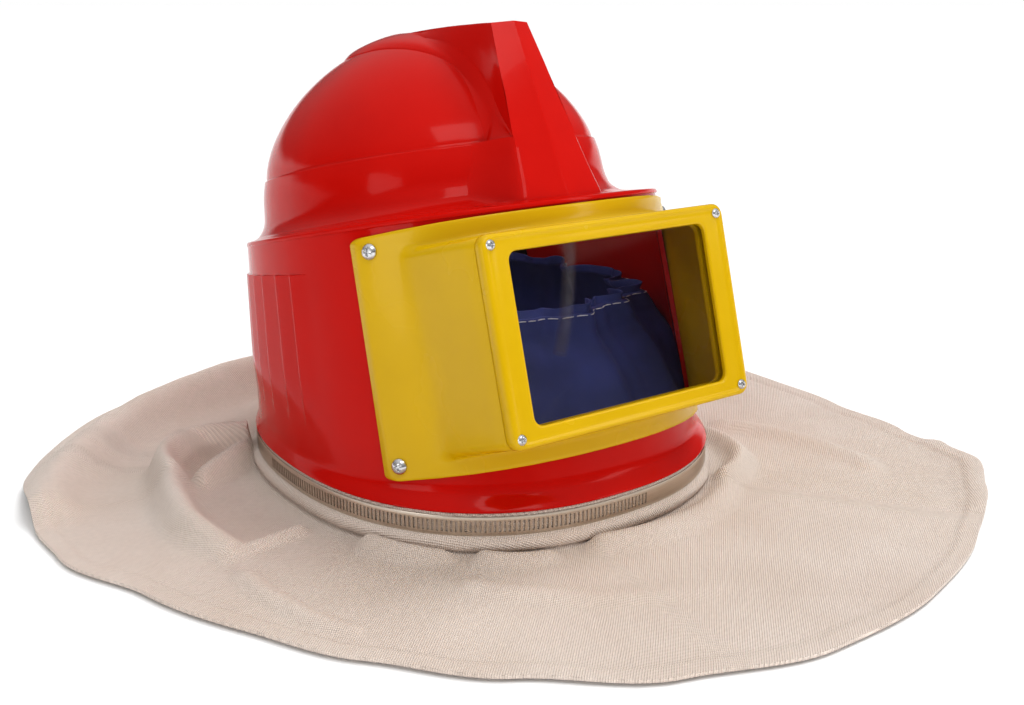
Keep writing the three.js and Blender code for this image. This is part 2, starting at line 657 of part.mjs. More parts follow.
// Angles at equal steps along the band between two angles
function evenAngles(first, last, pitch) {
  const fine = 2000;
  const lengths = [0];
  let before = neckPoint(first, bandInner, 0);
  for (let i = 1; i <= fine; i += 1) {
    const here = neckPoint(first + ((last - first) * i) / fine, bandInner, 0);
    lengths.push(lengths[i - 1] + here.distanceTo(before));
    before = here;
  }
  const count = Math.floor(lengths[fine] / pitch);
  let index = 0;
  return Array.from({ length: count + 1 }, (_, step) => {
    while (index < fine && lengths[index] < (step * lengths[fine]) / count) index += 1;
    return first + ((last - first) * index) / fine;
  });
}

const slotEdges = evenAngles(SLOT_FIRST_ANGLE, SLOT_LAST_ANGLE, SLOT_PITCH);
const plainEdges = evenAngles(SLOT_LAST_ANGLE, SLOT_FIRST_ANGLE + 2 * Math.PI, 4 * SLOT_PITCH).slice(1, -1);
const bandSections = [...slotEdges.filter((angle, i) => i % 2 === 0), ...plainEdges].map((angle) => [
  neckPoint(angle, bandInner, bandLow),
  neckPoint(angle, bandInner + BAND_THICK, bandLow),
  neckPoint(angle, bandInner + BAND_THICK, bandHigh),
  neckPoint(angle, bandInner, bandHigh),
]);
const slots = slotEdges.slice(0, -1).map((angle, i) => {
  const middle = (angle + slotEdges[i + 1]) / 2;
  const ahead = neckPoint(middle + 0.004, bandInner, 0).sub(neckPoint(middle - 0.004, bandInner, 0));
  const slot = new THREE.BoxGeometry(SLOT_WIDTH, 6 * BAND_THICK, SLOT_HEIGHT);
  slot.rotateZ(Math.atan2(ahead.y, ahead.x));
  const seat = neckPoint(middle, bandInner + BAND_THICK / 2, (bandLow + bandHigh) / 2);
  return solidOf(slot.translate(seat.x, seat.y, seat.z));
});
const band = solidOf(hoopOf(bandSections)).subtract(wasm.Manifold.union(slots));
addPiece('clamp_band', 'steel', geometryFrom(band));

// Worm housing at the back of the band
const housingSeat = neckPoint(Math.PI / 2, bandInner + BAND_THICK + GAP, (bandLow + bandHigh) / 2);
const housingBlock = new THREE.BoxGeometry(HOUSING_LENGTH, HOUSING_DEPTH, HOUSING_HEIGHT)
  .translate(0, housingSeat.y + HOUSING_DEPTH / 2, housingSeat.z);
const worm = new THREE.CylinderGeometry(WORM_RADIUS, WORM_RADIUS, WORM_LENGTH, 12)
  .rotateZ(Math.PI / 2)
  .translate(0, housingSeat.y + HOUSING_DEPTH / 2, housingSeat.z);
addPiece('clamp_housing', 'steel', geometryFrom(solidOf(housingBlock).add(solidOf(worm))));

// Cape
const polar = (angle, reach) => new THREE.Vector2(reach * Math.cos(angle), reach * Math.sin(angle));

function outlineReach(angle) {
  let turn = angle / DEG;
  while (turn > 180) turn -= 360;
  while (turn < -180) turn += 360;
  const last = OUTLINE_ROWS.findIndex((row) => row.angle >= turn);
  const after = OUTLINE_ROWS[Math.max(last, 1)];
  const before = OUTLINE_ROWS[Math.max(last, 1) - 1];
  const share = (turn - before.angle) / (after.angle - before.angle);
  const soft = share * share * (3 - 2 * share);
  return CAPE_REACH * THREE.MathUtils.lerp(before.reach, after.reach, soft);
}

// Reach of the roll's outer edge from the hood's axis, in a polar direction
function rollReach(angle) {
  const x = Math.cos(angle) / (NECK.halfWidth + CANVAS + ROLL_WIDTH);
  const y = Math.sin(angle) / (NECK.front + CANVAS + ROLL_WIDTH);
  const power = NECK.frontPower;
  return (Math.abs(x) ** power + Math.abs(y) ** power) ** (-1 / power);
}

function capePlace(angle, share) {
  return polar(angle, THREE.MathUtils.lerp(rollReach(angle), outlineReach(angle), share));
}

const foldCrests = FOLDS.map((fold) => {
  const [from, over, to] = [fold.from, fold.over, fold.to].map(([angle, share]) => ({ angle: angle * DEG, share }));
  const points = Array.from({ length: 13 }, (_, i) => {
    const t = i / 12;
    const mix = (key) => (1 - t) ** 2 * from[key] + 2 * t * (1 - t) * over[key] + t * t * to[key];
    return capePlace(mix('angle'), mix('share'));
  });
  return { points, height: fold.height * FOLD_HEIGHT, half: fold.half * FOLD_HEIGHT };
});

// Height of the folded cloth above the table at a place
function foldHeight(place) {
  let height = 0;
  for (const fold of foldCrests) {
    let nearest = Infinity;
    for (let i = 0; i + 1 < fold.points.length; i += 1) {
      const a = fold.points[i];
      const along = fold.points[i + 1].clone().sub(a);
      const share = THREE.MathUtils.clamp(place.clone().sub(a).dot(along) / along.lengthSq(), 0, 1);
      nearest = Math.min(nearest, place.distanceTo(a.clone().addScaledVector(along, share)));
    }
    height = Math.max(height, fold.height * Math.exp(-((nearest / fold.half) ** 2)));
  }
  return height < 0.6 ? 0 : height - 0.6;
}

const stripTop = RIM_HEIGHT - RIM_BEAD - GAP;
const rollTop = RIM_HEIGHT + bandLow - GAP;
const rollLow = 2.3 * CANVAS;
const rollMiddle = (rollTop + rollLow) / 2;
const capeAngles = sideAngles(ROUND_SIDES);
const capeSections = capeAngles.map((angle) => {
  const out = GAP + CANVAS;
  const at = (offset, z) => neckPoint(angle, offset, z - RIM_HEIGHT);
  const inner = at(0, 0);
  const direction = Math.atan2(inner.y, inner.x);
  const skirt = SKIRT_SHARES.map((share) => {
    const place = capePlace(direction, share);
    return { place, height: foldHeight(place) };
  });
  const upper = skirt.map(({ place, height }) => new THREE.Vector3(place.x, place.y, height + CANVAS));
  const lower = skirt.map(({ place, height }) => new THREE.Vector3(place.x, place.y, height));
  return [
    at(GAP, 0),
    ...lower,
    ...upper.reverse(),
    at(out + 0.6, CANVAS + 0.4),
    at(out + 1.2, rollLow),
    at(out + ROLL_WIDTH * 0.8, rollLow + 1.2),
    at(out + ROLL_WIDTH, rollMiddle),
    at(out + ROLL_WIDTH * 0.75, rollTop - 1.6),
    at(out + 1.4, rollTop),
    at(out, rollTop),
    at(out, stripTop),
    at(GAP, stripTop),
  ];
});
addPiece('cape', 'canvas', hoopOf(capeSections));

// Neck collar, gathered towards its top
const collarBase = { ...NECK, height: FLARE_HEIGHT + 2 };
function collarPoint(angle, row) {
  const gather = 1 + COLLAR_GATHER * row.wave * Math.cos(11 * angle + 2 * row.rise);
  const room = SHELL_WALL + GAP;
  const halfWidth = (NECK.halfWidth - room) * row.side * gather;
  const front = (NECK.front - room) * row.front * gather;
  const back = (NECK.back - room) * row.back * gather;
  const point = ringPoint({ ...collarBase, halfWidth, front, back }, angle);
  return point.set(
    point.x + COLLAR_SHIFT * row.rise,
    point.y,
    RIM_HEIGHT + collarBase.height + row.rise * COLLAR_HEIGHT,
  );
}
const collarOutside = sideAngles(COLLAR_SIDES).map((angle) => COLLAR_ROWS.map((row) => collarPoint(angle, row)));
const collarSections = collarOutside.map((section, side) => {
  const next = collarOutside[(side + 1) % COLLAR_SIDES];
  const before = collarOutside[(side + COLLAR_SIDES - 1) % COLLAR_SIDES];
  const inside = section.map((point, row) => {
    const around = next[row].clone().sub(before[row]);
    const up = section[Math.min(row + 1, section.length - 1)].clone().sub(section[Math.max(row - 1, 0)]);
    return point.clone().addScaledVector(up.cross(around).normalize(), COLLAR_WALL);
  });
  return [...section, ...inside.reverse()];
});
addPiece('neck_collar', 'navy', hoopOf(collarSections));

// Strap on the inner wall
const strapTurn = STRAP_WIDTH / (2 * RIM_HALF_WIDTH);
const strapRows = [0.12, 0.3, 0.5, 0.7, 0.9].map((share) => {
  const at = (turn, inward) => bodyPoint(STRAP_ANGLE + turn * strapTurn, share, -SHELL_WALL - inward);
  const near = 0.9;
  return [at(-1, near), at(1, near), at(1, near + STRAP_THICK), at(-1, near + STRAP_THICK)];
});
addPiece('head_strap', 'black', stackOf(strapRows));

// Air tube: hangs from a plain socket under the brim. The points were chosen by hand: across,
// back from the tube's seat, and down from it.
const brimUnder = BRIM_HEIGHT / Math.cos(CROWN_LEAN) + TUBE_FORWARD * Math.tan(CROWN_LEAN);
const TUBE_ROUTE = [
  [0, 0, 0], [0, 0, 13], [0, -0.2, 27], [0, 0, 41], [-0.2, 0.4, 53],
  [-0.5, 1.1, 63], [-1.1, 2.1, 73], [-1.8, 3.4, 83], [-2.5, 4.8, 91],
].map(([x, y, down]) => new THREE.Vector3(x, y - TUBE_FORWARD, RIM_HEIGHT + brimUnder - SOCKET_DROP - down));
const tubeSection = new THREE.Shape();
tubeSection.absarc(0, 0, TUBE_DIAMETER / 2, 0, 2 * Math.PI);
addPiece('air_tube', 'clear', new THREE.ExtrudeGeometry(tubeSection, {
  steps: 8, curveSegments: 5, bevelEnabled: false, extrudePath: new THREE.CatmullRomCurve3(TUBE_ROUTE),
}));
const socketTop = TUBE_ROUTE[0].clone();
const socket = new THREE.CylinderGeometry(SOCKET_RADIUS, SOCKET_RADIUS, 2 * SOCKET_LENGTH, 16)
  .rotateX(Math.PI / 2)
  .translate(socketTop.x, socketTop.y, socketTop.z + SOCKET_LENGTH + GAP);
addPiece('tube_socket', 'black', geometryFrom(solidOf(socket).intersect(hollowSolid(GAP))));

// The origin is the middle of the footprint
const footprint = new THREE.Box3().setFromObject(hood.getObjectByName('cape'));
const centre = footprint.getCenter(new THREE.Vector3());
hood.position.set(-centre.x, -centre.y, 0);

const sandblastingHood = new THREE.Group();
sandblastingHood.add(hood);

export default sandblastingHood;
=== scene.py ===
import math

import bpy
import numpy as np
from mathutils import Matrix, Vector


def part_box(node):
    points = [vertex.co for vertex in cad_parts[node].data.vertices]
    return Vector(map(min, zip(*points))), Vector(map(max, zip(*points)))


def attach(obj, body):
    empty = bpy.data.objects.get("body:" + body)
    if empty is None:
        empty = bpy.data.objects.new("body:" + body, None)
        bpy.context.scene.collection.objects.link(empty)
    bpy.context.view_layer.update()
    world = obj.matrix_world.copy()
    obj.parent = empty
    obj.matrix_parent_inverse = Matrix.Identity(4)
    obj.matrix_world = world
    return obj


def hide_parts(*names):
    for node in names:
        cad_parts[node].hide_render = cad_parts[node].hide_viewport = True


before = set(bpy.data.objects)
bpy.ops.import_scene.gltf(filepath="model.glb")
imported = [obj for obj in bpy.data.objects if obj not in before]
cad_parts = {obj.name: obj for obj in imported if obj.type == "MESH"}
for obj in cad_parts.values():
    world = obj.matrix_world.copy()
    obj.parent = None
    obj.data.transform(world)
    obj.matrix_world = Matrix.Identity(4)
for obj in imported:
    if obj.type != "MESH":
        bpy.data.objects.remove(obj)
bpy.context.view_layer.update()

# The studio: a pale floor, a camera a little above the hood at its right front, softboxes on the
# left, on the right and overhead, a low one that lights the window and a soft sun behind.
MM = 0.001
band_low, band_high = (np.array(corner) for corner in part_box("clamp_band"))
hood_axis = (band_low + band_high) / 2 / MM
RIM_HEIGHT = 30.0
rim_middle = np.array([hood_axis[0], hood_axis[1], RIM_HEIGHT])

CAMERA_AZIMUTH = math.radians(-35.16)
CAMERA_ELEVATION = math.radians(16.85)
CAMERA_PLACE = (np.array([-449.3, -682.8, 296.3]) + rim_middle) * MM


def facing_matrix(place, azimuth, elevation):
    """Turns an object's -Z towards the hood, as seen from that azimuth and elevation."""
    back = Vector((
        math.sin(azimuth) * math.cos(elevation),
        -math.cos(azimuth) * math.cos(elevation),
        math.sin(elevation),
    ))
    right = Vector((math.cos(azimuth), math.sin(azimuth), 0.0))
    turn = Matrix((right, back.cross(right), back)).transposed()
    return Matrix.Translation(Vector(place)) @ turn.to_4x4()


camera_data = bpy.data.cameras.new("camera")
camera_data.lens = 41.47
camera_data.sensor_width = 36.0
camera_data.clip_end = 200.0
camera = bpy.data.objects.new("camera", camera_data)
camera.matrix_world = facing_matrix(CAMERA_PLACE, CAMERA_AZIMUTH, CAMERA_ELEVATION)
bpy.context.scene.collection.objects.link(camera)
bpy.context.scene.camera = camera
bpy.context.scene.view_settings.view_transform = "Standard"
bpy.context.scene.view_settings.look = "Medium High Contrast"


def softbox(name, azimuth, elevation, distance, size, power, glossy=True):
    """A rectangular lamp that faces the hood's middle, placed by angles from the camera's side."""
    lamp = bpy.data.lights.new(name, "AREA")
    lamp.shape = "RECTANGLE"
    lamp.size, lamp.size_y = size
    lamp.energy = power
    a = CAMERA_AZIMUTH + math.radians(azimuth)
    e = math.radians(elevation)
    away = np.array([math.sin(a) * math.cos(e), -math.cos(a) * math.cos(e), math.sin(e)])
    place = rim_middle * MM + np.array([0.0, 0.0, 0.12]) + away * distance
    lit = bpy.data.objects.new(name, lamp)
    lit.matrix_world = facing_matrix(place, a, e)
    lit.visible_glossy = glossy
    bpy.context.scene.collection.objects.link(lit)


for lamp_row in [
    # name, azimuth, elevation, distance, size, power
    ("softbox_left", -38, 14, 1.9, (0.8, 0.62), 2.8),
    ("softbox_top", 22, 60, 1.7, (0.8, 0.6), 4),
    ("softbox_right", 75, 25, 2.4, (0.4, 1.0), 3),
]:
    softbox(*lamp_row)
softbox("softbox_front", 38, 3, 2.0, (0.5, 0.4), 6, glossy=False)
# A faint lamp under the crown stands in for the light that the red moulding lets through
inner = bpy.data.lights.new("inner_fill", "AREA")
inner.size = 0.12
inner.energy = 0.085
inner_lamp = bpy.data.objects.new("inner_fill", inner)
inner_lamp.matrix_world = facing_matrix((rim_middle + [0, -45, 185]) * MM, 0.0, math.radians(48))
inner_lamp.visible_glossy = False
bpy.context.scene.collection.objects.link(inner_lamp)
sun = bpy.data.lights.new("fill_sun", "SUN")
sun.energy = 1.25
sun.angle = math.radians(35)
sun_lamp = bpy.data.objects.new("fill_sun", sun)
sun_lamp.matrix_world = facing_matrix((0, 0, 3), CAMERA_AZIMUTH + math.radians(125), math.radians(60))
sun_lamp.visible_glossy = False
bpy.context.scene.collection.objects.link(sun_lamp)

# The room's own light: white at the floor's far edge, dim at the walls and bright overhead
world = bpy.data.worlds.new("studio")
world.use_nodes = True
sky = world.node_tree
sky_way = sky.nodes.new("ShaderNodeTexCoord")
sky_split = sky.nodes.new("ShaderNodeSeparateXYZ")
sky_ramp = sky.nodes.new("ShaderNodeValToRGB")
for place in (0.05, 0.1):
    sky_ramp.color_ramp.elements.new(place)
for stop, grey in zip(sky_ramp.color_ramp.elements, (0.9, 0.9, 0.12, 0.78)):
    stop.color = (grey, grey, grey, 1.0)
sky.links.new(sky_way.outputs["Generated"], sky_split.inputs["Vector"])
sky.links.new(sky_split.outputs["Z"], sky_ramp.inputs["Fac"])
sky.links.new(sky_ramp.outputs["Color"], sky.nodes["Background"].inputs["Color"])
bpy.context.scene.world = world


def finish_material(name, color, roughness, **sockets):
    """A Principled material with its constant values; returns it with its nodes and shader."""
    material = bpy.data.materials.new(name)
    material.use_nodes = True
    shader = material.node_tree.nodes["Principled BSDF"]
    shader.inputs["Base Color"].default_value = (*color, 1.0)
    shader.inputs["Roughness"].default_value = roughness
    for socket, value in sockets.items():
        shader.inputs[socket.replace("_", " ")].default_value = value
    return material, material.node_tree, shader


def add_node(tree, kind, **values):
    """One shader node; values name its properties, or its inputs when they start with in_."""
    node = tree.nodes.new(kind)
    for key, value in values.items():
        if key.startswith("in_"):
            node.inputs[key[3:].replace("_", " ")].default_value = value
        else:
            setattr(node, key, value)
    return node


def add_mesh(name, points, faces, material, sharp=35.0):
    """Points in millimetres and their faces as one smooth object, with edges sharp past an angle."""
    mesh = bpy.data.meshes.new(name)
    mesh.from_pydata((np.asarray(points) * MM).tolist(), [], [list(face) for face in faces])
    mesh.materials.append(material)
    mesh.shade_smooth()
    mesh.set_sharp_from_angle(angle=math.radians(sharp))
    piece = bpy.data.objects.new(name, mesh)
    bpy.context.scene.collection.objects.link(piece)
    return piece


def grid_faces(rows, columns, closed=True, looped=False):
    """Quads of a grid of points: columns join round if closed, rows if looped."""
    row = np.arange(rows if looped else rows - 1)[:, None]
    column = np.arange(columns if closed else columns - 1)[None, :]
    across = (column + 1) % columns
    above = (row + 1) % rows
    near, far = row * columns, above * columns
    return np.stack([near + column, near + across, far + across, far + column], -1).reshape(-1, 4)


floor_material, floor_tree, floor_shader = finish_material("studio_floor", (1.0, 1.0, 1.0), 0.9)
floor = add_mesh(
    "floor",
    np.array([[-180, -180, 0], [180, -180, 0], [180, 180, 0], [-180, 180, 0]]) / MM - [0, 0, 0.6],
    [[0, 1, 2, 3]],
    floor_material,
)

# The air tube: clear soft plastic, 9.5 mm outside with a 6.5 mm bore, hanging from its socket
# under the brim and cut square at its lower end.
TUBE_DIAMETER = 9.5
TUBE_BORE = 6.5
TUBE_ROUTE = np.array([
    [0, -107, 165], [0, -107, 152], [0, -107.2, 138], [0, -107, 124], [-0.2, -106.6, 112],
    [-0.5, -105.9, 102], [-1.1, -104.9, 92], [-1.8, -103.6, 82], [-2.5, -102.2, 74],
], float)


def smooth_rows(table, count):
    """A Catmull-Rom curve through the rows of a table, sampled evenly in row number."""
    table = np.asarray(table, float)
    padded = np.concatenate([2 * table[:1] - table[1:2], table, 2 * table[-1:] - table[-2:-1]])
    place = np.linspace(0, len(table) - 1, count)
    start = np.clip(place.astype(int), 0, len(table) - 2)
    t = (place - start)[:, None]
    a, b, c, d = (padded[start + k] for k in range(4))
    return 0.5 * (2 * b + (c - a) * t + (2 * a - 5 * b + 4 * c - d) * t**2 + (3 * b - a - 3 * c + d) * t**3)


def tube_points(path, radii, sides):
    """Circles round a path, each square to it; radii holds one per ring."""
    along = np.gradient(path, axis=0)
    along /= np.linalg.norm(along, axis=1, keepdims=True)
    side = np.cross(along, [0.0, 1.0, 0.0])
    side /= np.linalg.norm(side, axis=1, keepdims=True)
    other = np.cross(along, side)
    turn = np.linspace(0, 2 * np.pi, sides, endpoint=False)
    round_it = side[:, None] * np.cos(turn)[None, :, None] + other[:, None] * np.sin(turn)[None, :, None]
    return path[:, None] + round_it * np.asarray(radii)[:, None, None]


def noise_bumps(tree, shader, *layers):
    """Bumps from noise on the piece's own coordinates, one on another; gives the noises back."""
    place = add_node(tree, "ShaderNodeTexCoord")
    noises, below = [], None
    for scale, detail, strength, depth in layers:
        noise = add_node(tree, "ShaderNodeTexNoise", in_Scale=scale, in_Detail=detail)
        bump = add_node(tree, "ShaderNodeBump", in_Strength=strength, in_Distance=depth * MM)
        tree.links.new(place.outputs["Object"], noise.inputs["Vector"])
        tree.links.new(noise.outputs["Fac"], bump.inputs["Height"])
        if below:
            tree.links.new(below.outputs["Normal"], bump.inputs["Normal"])
        noises.append(noise)
        below = bump
    tree.links.new(below.outputs["Normal"], shader.inputs["Normal"])
    return noises


TUBE_STATIONS, TUBE_SIDES = 49, 32
tube_path = smooth_rows(TUBE_ROUTE, TUBE_STATIONS) + rim_middle
outer_wall = tube_points(tube_path, np.full(TUBE_STATIONS, TUBE_DIAMETER / 2), TUBE_SIDES)
inner_wall = tube_points(tube_path, np.full(TUBE_STATIONS, TUBE_BORE / 2), TUBE_SIDES)[::-1]
tube_walls = np.concatenate([outer_wall, inner_wall])
clear_vinyl, tree, shader = finish_material(
    "clear_vinyl", (0.36, 0.34, 0.35), 0.06, IOR=1.5, Alpha=0.09, Specular_IOR_Level=0.9,
)
noise_bumps(tree, shader, (70, 2, 0.06, 0.5))
air_tube = add_mesh(
    "clear_air_tube", tube_walls.reshape(-1, 3),
    grid_faces(2 * TUBE_STATIONS, TUBE_SIDES, looped=True)[:, ::-1], clear_vinyl,
)
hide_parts("air_tube")
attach(air_tube, "root")

# The shell: one red moulding, 3 mm thick, with a level rim and neck, a straight-sided body, a
# brim that leans back with the crown, and saw-toothed ribs round the back of the body.
SHELL_WALL = 3.0
LEAN = math.radians(13.1)
BRIM_HEIGHT = 144.2
BODY_FOOT = np.array([[9.0, 148.5, 158.0, 163.5, 2.0, 2.25, 2.3]])
BODY_TOP = np.array([[BRIM_HEIGHT, 139.85, 151.8, 151.8, 0.0, 2.12, 2.2]])
STEP_HEIGHT = 188.7
DOME_RISE = 90.0
DOME_PEAK_Y = 22.0
CROWN_MIDDLE, FRONT_POWER, BACK_POWER = 12.0, 2.12, 2.45
# The dome's foot as shares of the crown's half width and of its reach in front and behind
DOME_FOOT = 117.5 * 0.954, 109.7 * 0.955 + CROWN_MIDDLE, 145.0 * 0.956 - CROWN_MIDDLE


def rings(table, angles, offset=0.0):
    """Rows of height, half width, front, back, middle and two powers as superellipse rings."""
    height, half, front, back, middle, front_power, back_power = np.asarray(table, float).T[:, :, None]
    c, s = np.cos(angles)[None], np.sin(angles)[None]
    power = 2 / np.where(s < 0, front_power, back_power)
    reach = np.where(s < 0, front + middle, back - middle) + offset
    x = (half + offset) * np.sign(c) * np.abs(c) ** power
    y = middle + reach * np.sign(s) * np.abs(s) ** power
    return np.stack([x, y, np.broadcast_to(height, x.shape)], -1)


def lean(points):
    """Crown frame to rim frame: turned back about the X axis through the rim's middle."""
    x, y, z = np.moveaxis(points, -1, 0)
    return np.stack([x, y * math.cos(LEAN) + z * math.sin(LEAN), z * math.cos(LEAN) - y * math.sin(LEAN)], -1)


def upright(points):
    """Rim frame to crown frame, the inverse of lean."""
    x, y, z = np.moveaxis(points, -1, 0)
    return np.stack([x, y * math.cos(LEAN) - z * math.sin(LEAN), z * math.cos(LEAN) + y * math.sin(LEAN)], -1)


def body_wall(angles, shares, offset=0.0):
    """The body: straight lines from the ring above the rim to the ring under the brim."""
    low = rings(BODY_FOOT, angles, offset)
    high = lean(rings(BODY_TOP, angles, offset))
    return low + (high - low) * np.asarray(shares, float)[:, None, None]


RIB_COUNT, RIB_FIRST, RIB_PITCH, RIB_TOP = 10, 188.0, 6.8, 0.842
RIB_EDGES = np.radians(RIB_FIRST - RIB_PITCH * np.arange(RIB_COUNT))
RIB_RUN = np.radians(6.1)
RIB_LIP = np.radians(0.9)
RIB_RELIEF = 2.2
rib_edges = np.concatenate([RIB_EDGES, np.pi - RIB_EDGES])
rib_sides = np.repeat([1.0, -1.0], RIB_COUNT)


def rib_relief(angles, shares):
    """Saw teeth: full height at a rib's rear edge, nothing at its run-out towards the front."""
    away = (angles[None, :] - rib_edges[:, None]) * rib_sides[:, None]
    away = (away + np.pi / 2) % (2 * np.pi) - np.pi / 2
    lip = 1 - 0.55 * np.clip(1 - away / RIB_LIP, 0, 1) ** 2
    tooth = np.where((away >= -1e-6) & (away < RIB_RUN), (1 - away / RIB_RUN) * lip, 0).max(0)
    fade = np.clip((shares - 0.11) / 0.28, 0, 1)
    rise = np.where(shares < RIB_TOP, fade * fade * (3 - 2 * fade), 0)
    return RIB_RELIEF * rise[:, None] * tooth[None, :]


RIM_ROWS = [
    # height, half width, front, back, middle, front power, back power
    [-23.0, 148.1, 163.6, 163.6, 0, 2.3, 2.3],
    [-2.2, 148.1, 163.6, 163.6, 0, 2.3, 2.3],
    [-1.6, 148.4, 163.9, 163.9, 0, 2.3, 2.3],
    [-1.5, 150.6, 166.1, 166.1, 0, 2.3, 2.3],
    [-1.1, 151.3, 166.8, 166.8, 0, 2.3, 2.3],
    [-0.4, 151.6, 167.1, 167.1, 0, 2.3, 2.3],
    [0.5, 151.3, 166.4, 166.8, 0, 2.3, 2.3],
    [2.6, 150.5, 164.0, 165.8, 0.5, 2.29, 2.3],
    [5.0, 149.7, 161.4, 164.8, 1.0, 2.27, 2.3],
    [7.2, 149.0, 159.3, 164.0, 1.6, 2.26, 2.3],
]
BRIM_ROWS = [
    [144.2, 140.0, 153.5, 152.0, 0, 2.12, 2.2],
    [144.5, 140.3, 154.0, 152.2, 0, 2.12, 2.2],
    [145.6, 140.4, 154.1, 152.2, 0, 2.12, 2.2],
    [146.7, 139.9, 153.7, 151.7, 0, 2.12, 2.2],
    [147.2, 139.0, 152.6, 150.9, 1, 2.12, 2.2],
]
CROWN_ROWS = [
    [147.5, 136.6, 148.5, 150.0, 3, 2.12, 2.25],
    [147.9, 133.2, 141.5, 149.4, 6, 2.12, 2.3],
    [148.6, 129.0, 133.5, 148.4, 9, 2.12, 2.35],
    [150.0, 125.0, 124.0, 147.2, 12, 2.12, 2.4],
    [153.0, 122.0, 117.6, 146.2, 12, 2.12, 2.4],
    [156.0, 120.0, 113.9, 145.7, 12, 2.12, 2.4],
    [160.0, 118.5, 112.0, 145.3, 12, 2.12, 2.4],
    [166.0, 117.5, 109.9, 145.0, 12, 2.12, 2.4],
    [173.0, 116.8, 109.2, 144.7, 12, 2.12, 2.4],
    [180.0, 115.8, 108.3, 144.0, 12, 2.12, 2.4],
    [186.0, 114.4, 107.0, 142.8, 12, 2.12, 2.4],
    [188.2, 113.8, 106.5, 142.2, 12, 2.12, 2.4],
]
STEP_ROWS = [
    [188.6, 113.6, 106.2, 141.4, 12, 2.12, 2.42],
    [188.9, 113.1, 105.8, 140.4, 12, 2.12, 2.44],
    [188.8, 112.4, 105.1, 139.2, 12, 2.12, 2.45],
]


def dome_rows(rises):
    """Dome: each ring is the foot's, shrunk as (1 - rise^1.54)^(1/1.9), its middle easing back."""
    left = (1 - rises**1.54) ** (1 / 1.9)
    middle = CROWN_MIDDLE + (DOME_PEAK_Y - CROWN_MIDDLE) * rises
    return np.stack([
        STEP_HEIGHT + rises * DOME_RISE,
        DOME_FOOT[0] * left,
        DOME_FOOT[1] * left - middle,
        DOME_FOOT[2] * left + middle,
        middle,
        np.full(len(rises), FRONT_POWER),
        np.full(len(rises), BACK_POWER),
    ], -1)


def inset_rows(table, wall):
    """The same rings for the inner wall: drawn in and lowered by the wall."""
    table = np.array(table, float)
    table[:, 1:4] -= wall
    table[:, 0] -= wall
    return table


fine = np.radians(np.arange(-180, 180, 1.8))
beside_edge = np.radians([-0.12, 0.0, 0.2, 0.45, 0.7, 0.95, 1.4])
edge_columns = (rib_edges[:, None] + beside_edge * rib_sides[:, None]).ravel()
columns = np.concatenate([fine, (edge_columns + np.pi) % (2 * np.pi) - np.pi])
columns = np.unique(np.round(columns, 6))
HOLE_LOW, HOLE_HIGH = 0.14, 0.94
HOLE_SIDE = math.radians(43.2)
columns[np.argmin(np.abs(columns + np.pi / 2 - HOLE_SIDE))] = HOLE_SIDE - np.pi / 2
columns[np.argmin(np.abs(columns + np.pi / 2 + HOLE_SIDE))] = -HOLE_SIDE - np.pi / 2
body_shares = np.unique(np.concatenate([
    np.linspace(0, 1, 34), [HOLE_LOW, HOLE_HIGH, RIB_TOP - 0.0015, RIB_TOP + 0.0015],
]))
dome_rises = np.sin(np.linspace(0.0, 0.4985 * np.pi, 36)) ** 1.6
relief = rib_relief(columns, body_shares)
outward = body_wall(columns, body_shares, 1.0) - body_wall(columns, body_shares)
outer_body = body_wall(columns, body_shares) + outward * relief[..., None]
outer_rows = np.concatenate([
    rings(RIM_ROWS, columns),
    outer_body,
    lean(rings(BRIM_ROWS, columns)),
    lean(rings(smooth_rows(CROWN_ROWS, 40), columns)),
    lean(rings(STEP_ROWS, columns)),
    lean(rings(dome_rows(dome_rises[1:]), columns)),
])
inner_rows = np.concatenate([
    rings([[-23.0, 145.1, 160.6, 160.6, 0, 2.3, 2.3], [1.0, 145.1, 160.2, 160.6, 0, 2.3, 2.3]], columns),
    body_wall(columns, body_shares, -SHELL_WALL),
    lean(rings(inset_rows(smooth_rows(CROWN_ROWS[3:], 8), SHELL_WALL), columns)),
    lean(rings(inset_rows(dome_rows(dome_rises[1:-5:2]), SHELL_WALL), columns)),
])
outer_start = len(outer_rows) - 1 - len(RIM_ROWS)
profile = np.concatenate([outer_rows[::-1], inner_rows])
shell_faces = grid_faces(len(profile), len(columns))
shell_points = profile.reshape(-1, 3)
# Pole fans close the dome outside and inside
poles = np.array([profile[0].mean(0), profile[-1].mean(0)])
count = len(columns)
turn = np.arange(count)
last = len(profile) * count
cap_outer = np.stack([(turn + 1) % count, turn, np.full(count, last)], -1)
cap_inner = np.stack([turn, (turn + 1) % count, np.full(count, last + 1)], -1)
cap_inner[:, :2] += (len(profile) - 1) * count
# The window's hole: the faces of both walls inside it are left out, and its edge is closed
low_row = int(np.argmin(np.abs(body_shares - HOLE_LOW)))
high_row = int(np.argmin(np.abs(body_shares - HOLE_HIGH)))
left_column = int(np.argmin(np.abs(columns + np.pi / 2 + HOLE_SIDE)))
right_column = int(np.argmin(np.abs(columns + np.pi / 2 - HOLE_SIDE)))
outer_row = [outer_start - k for k in range(len(body_shares))]
inner_row = [len(outer_rows) + 2 + k for k in range(len(body_shares))]
face_row = np.repeat(np.arange(len(profile) - 1), count)
face_column = np.tile(np.arange(count), len(profile) - 1)
in_columns = (face_column >= left_column) & (face_column < right_column)
outer_cut = (face_row >= outer_row[high_row]) & (face_row < outer_row[low_row])
inner_cut = (face_row >= inner_row[low_row]) & (face_row < inner_row[high_row])
shell_faces = shell_faces[~(in_columns & (outer_cut | inner_cut))]
across = np.arange(left_column, right_column)
up = np.arange(low_row, high_row)


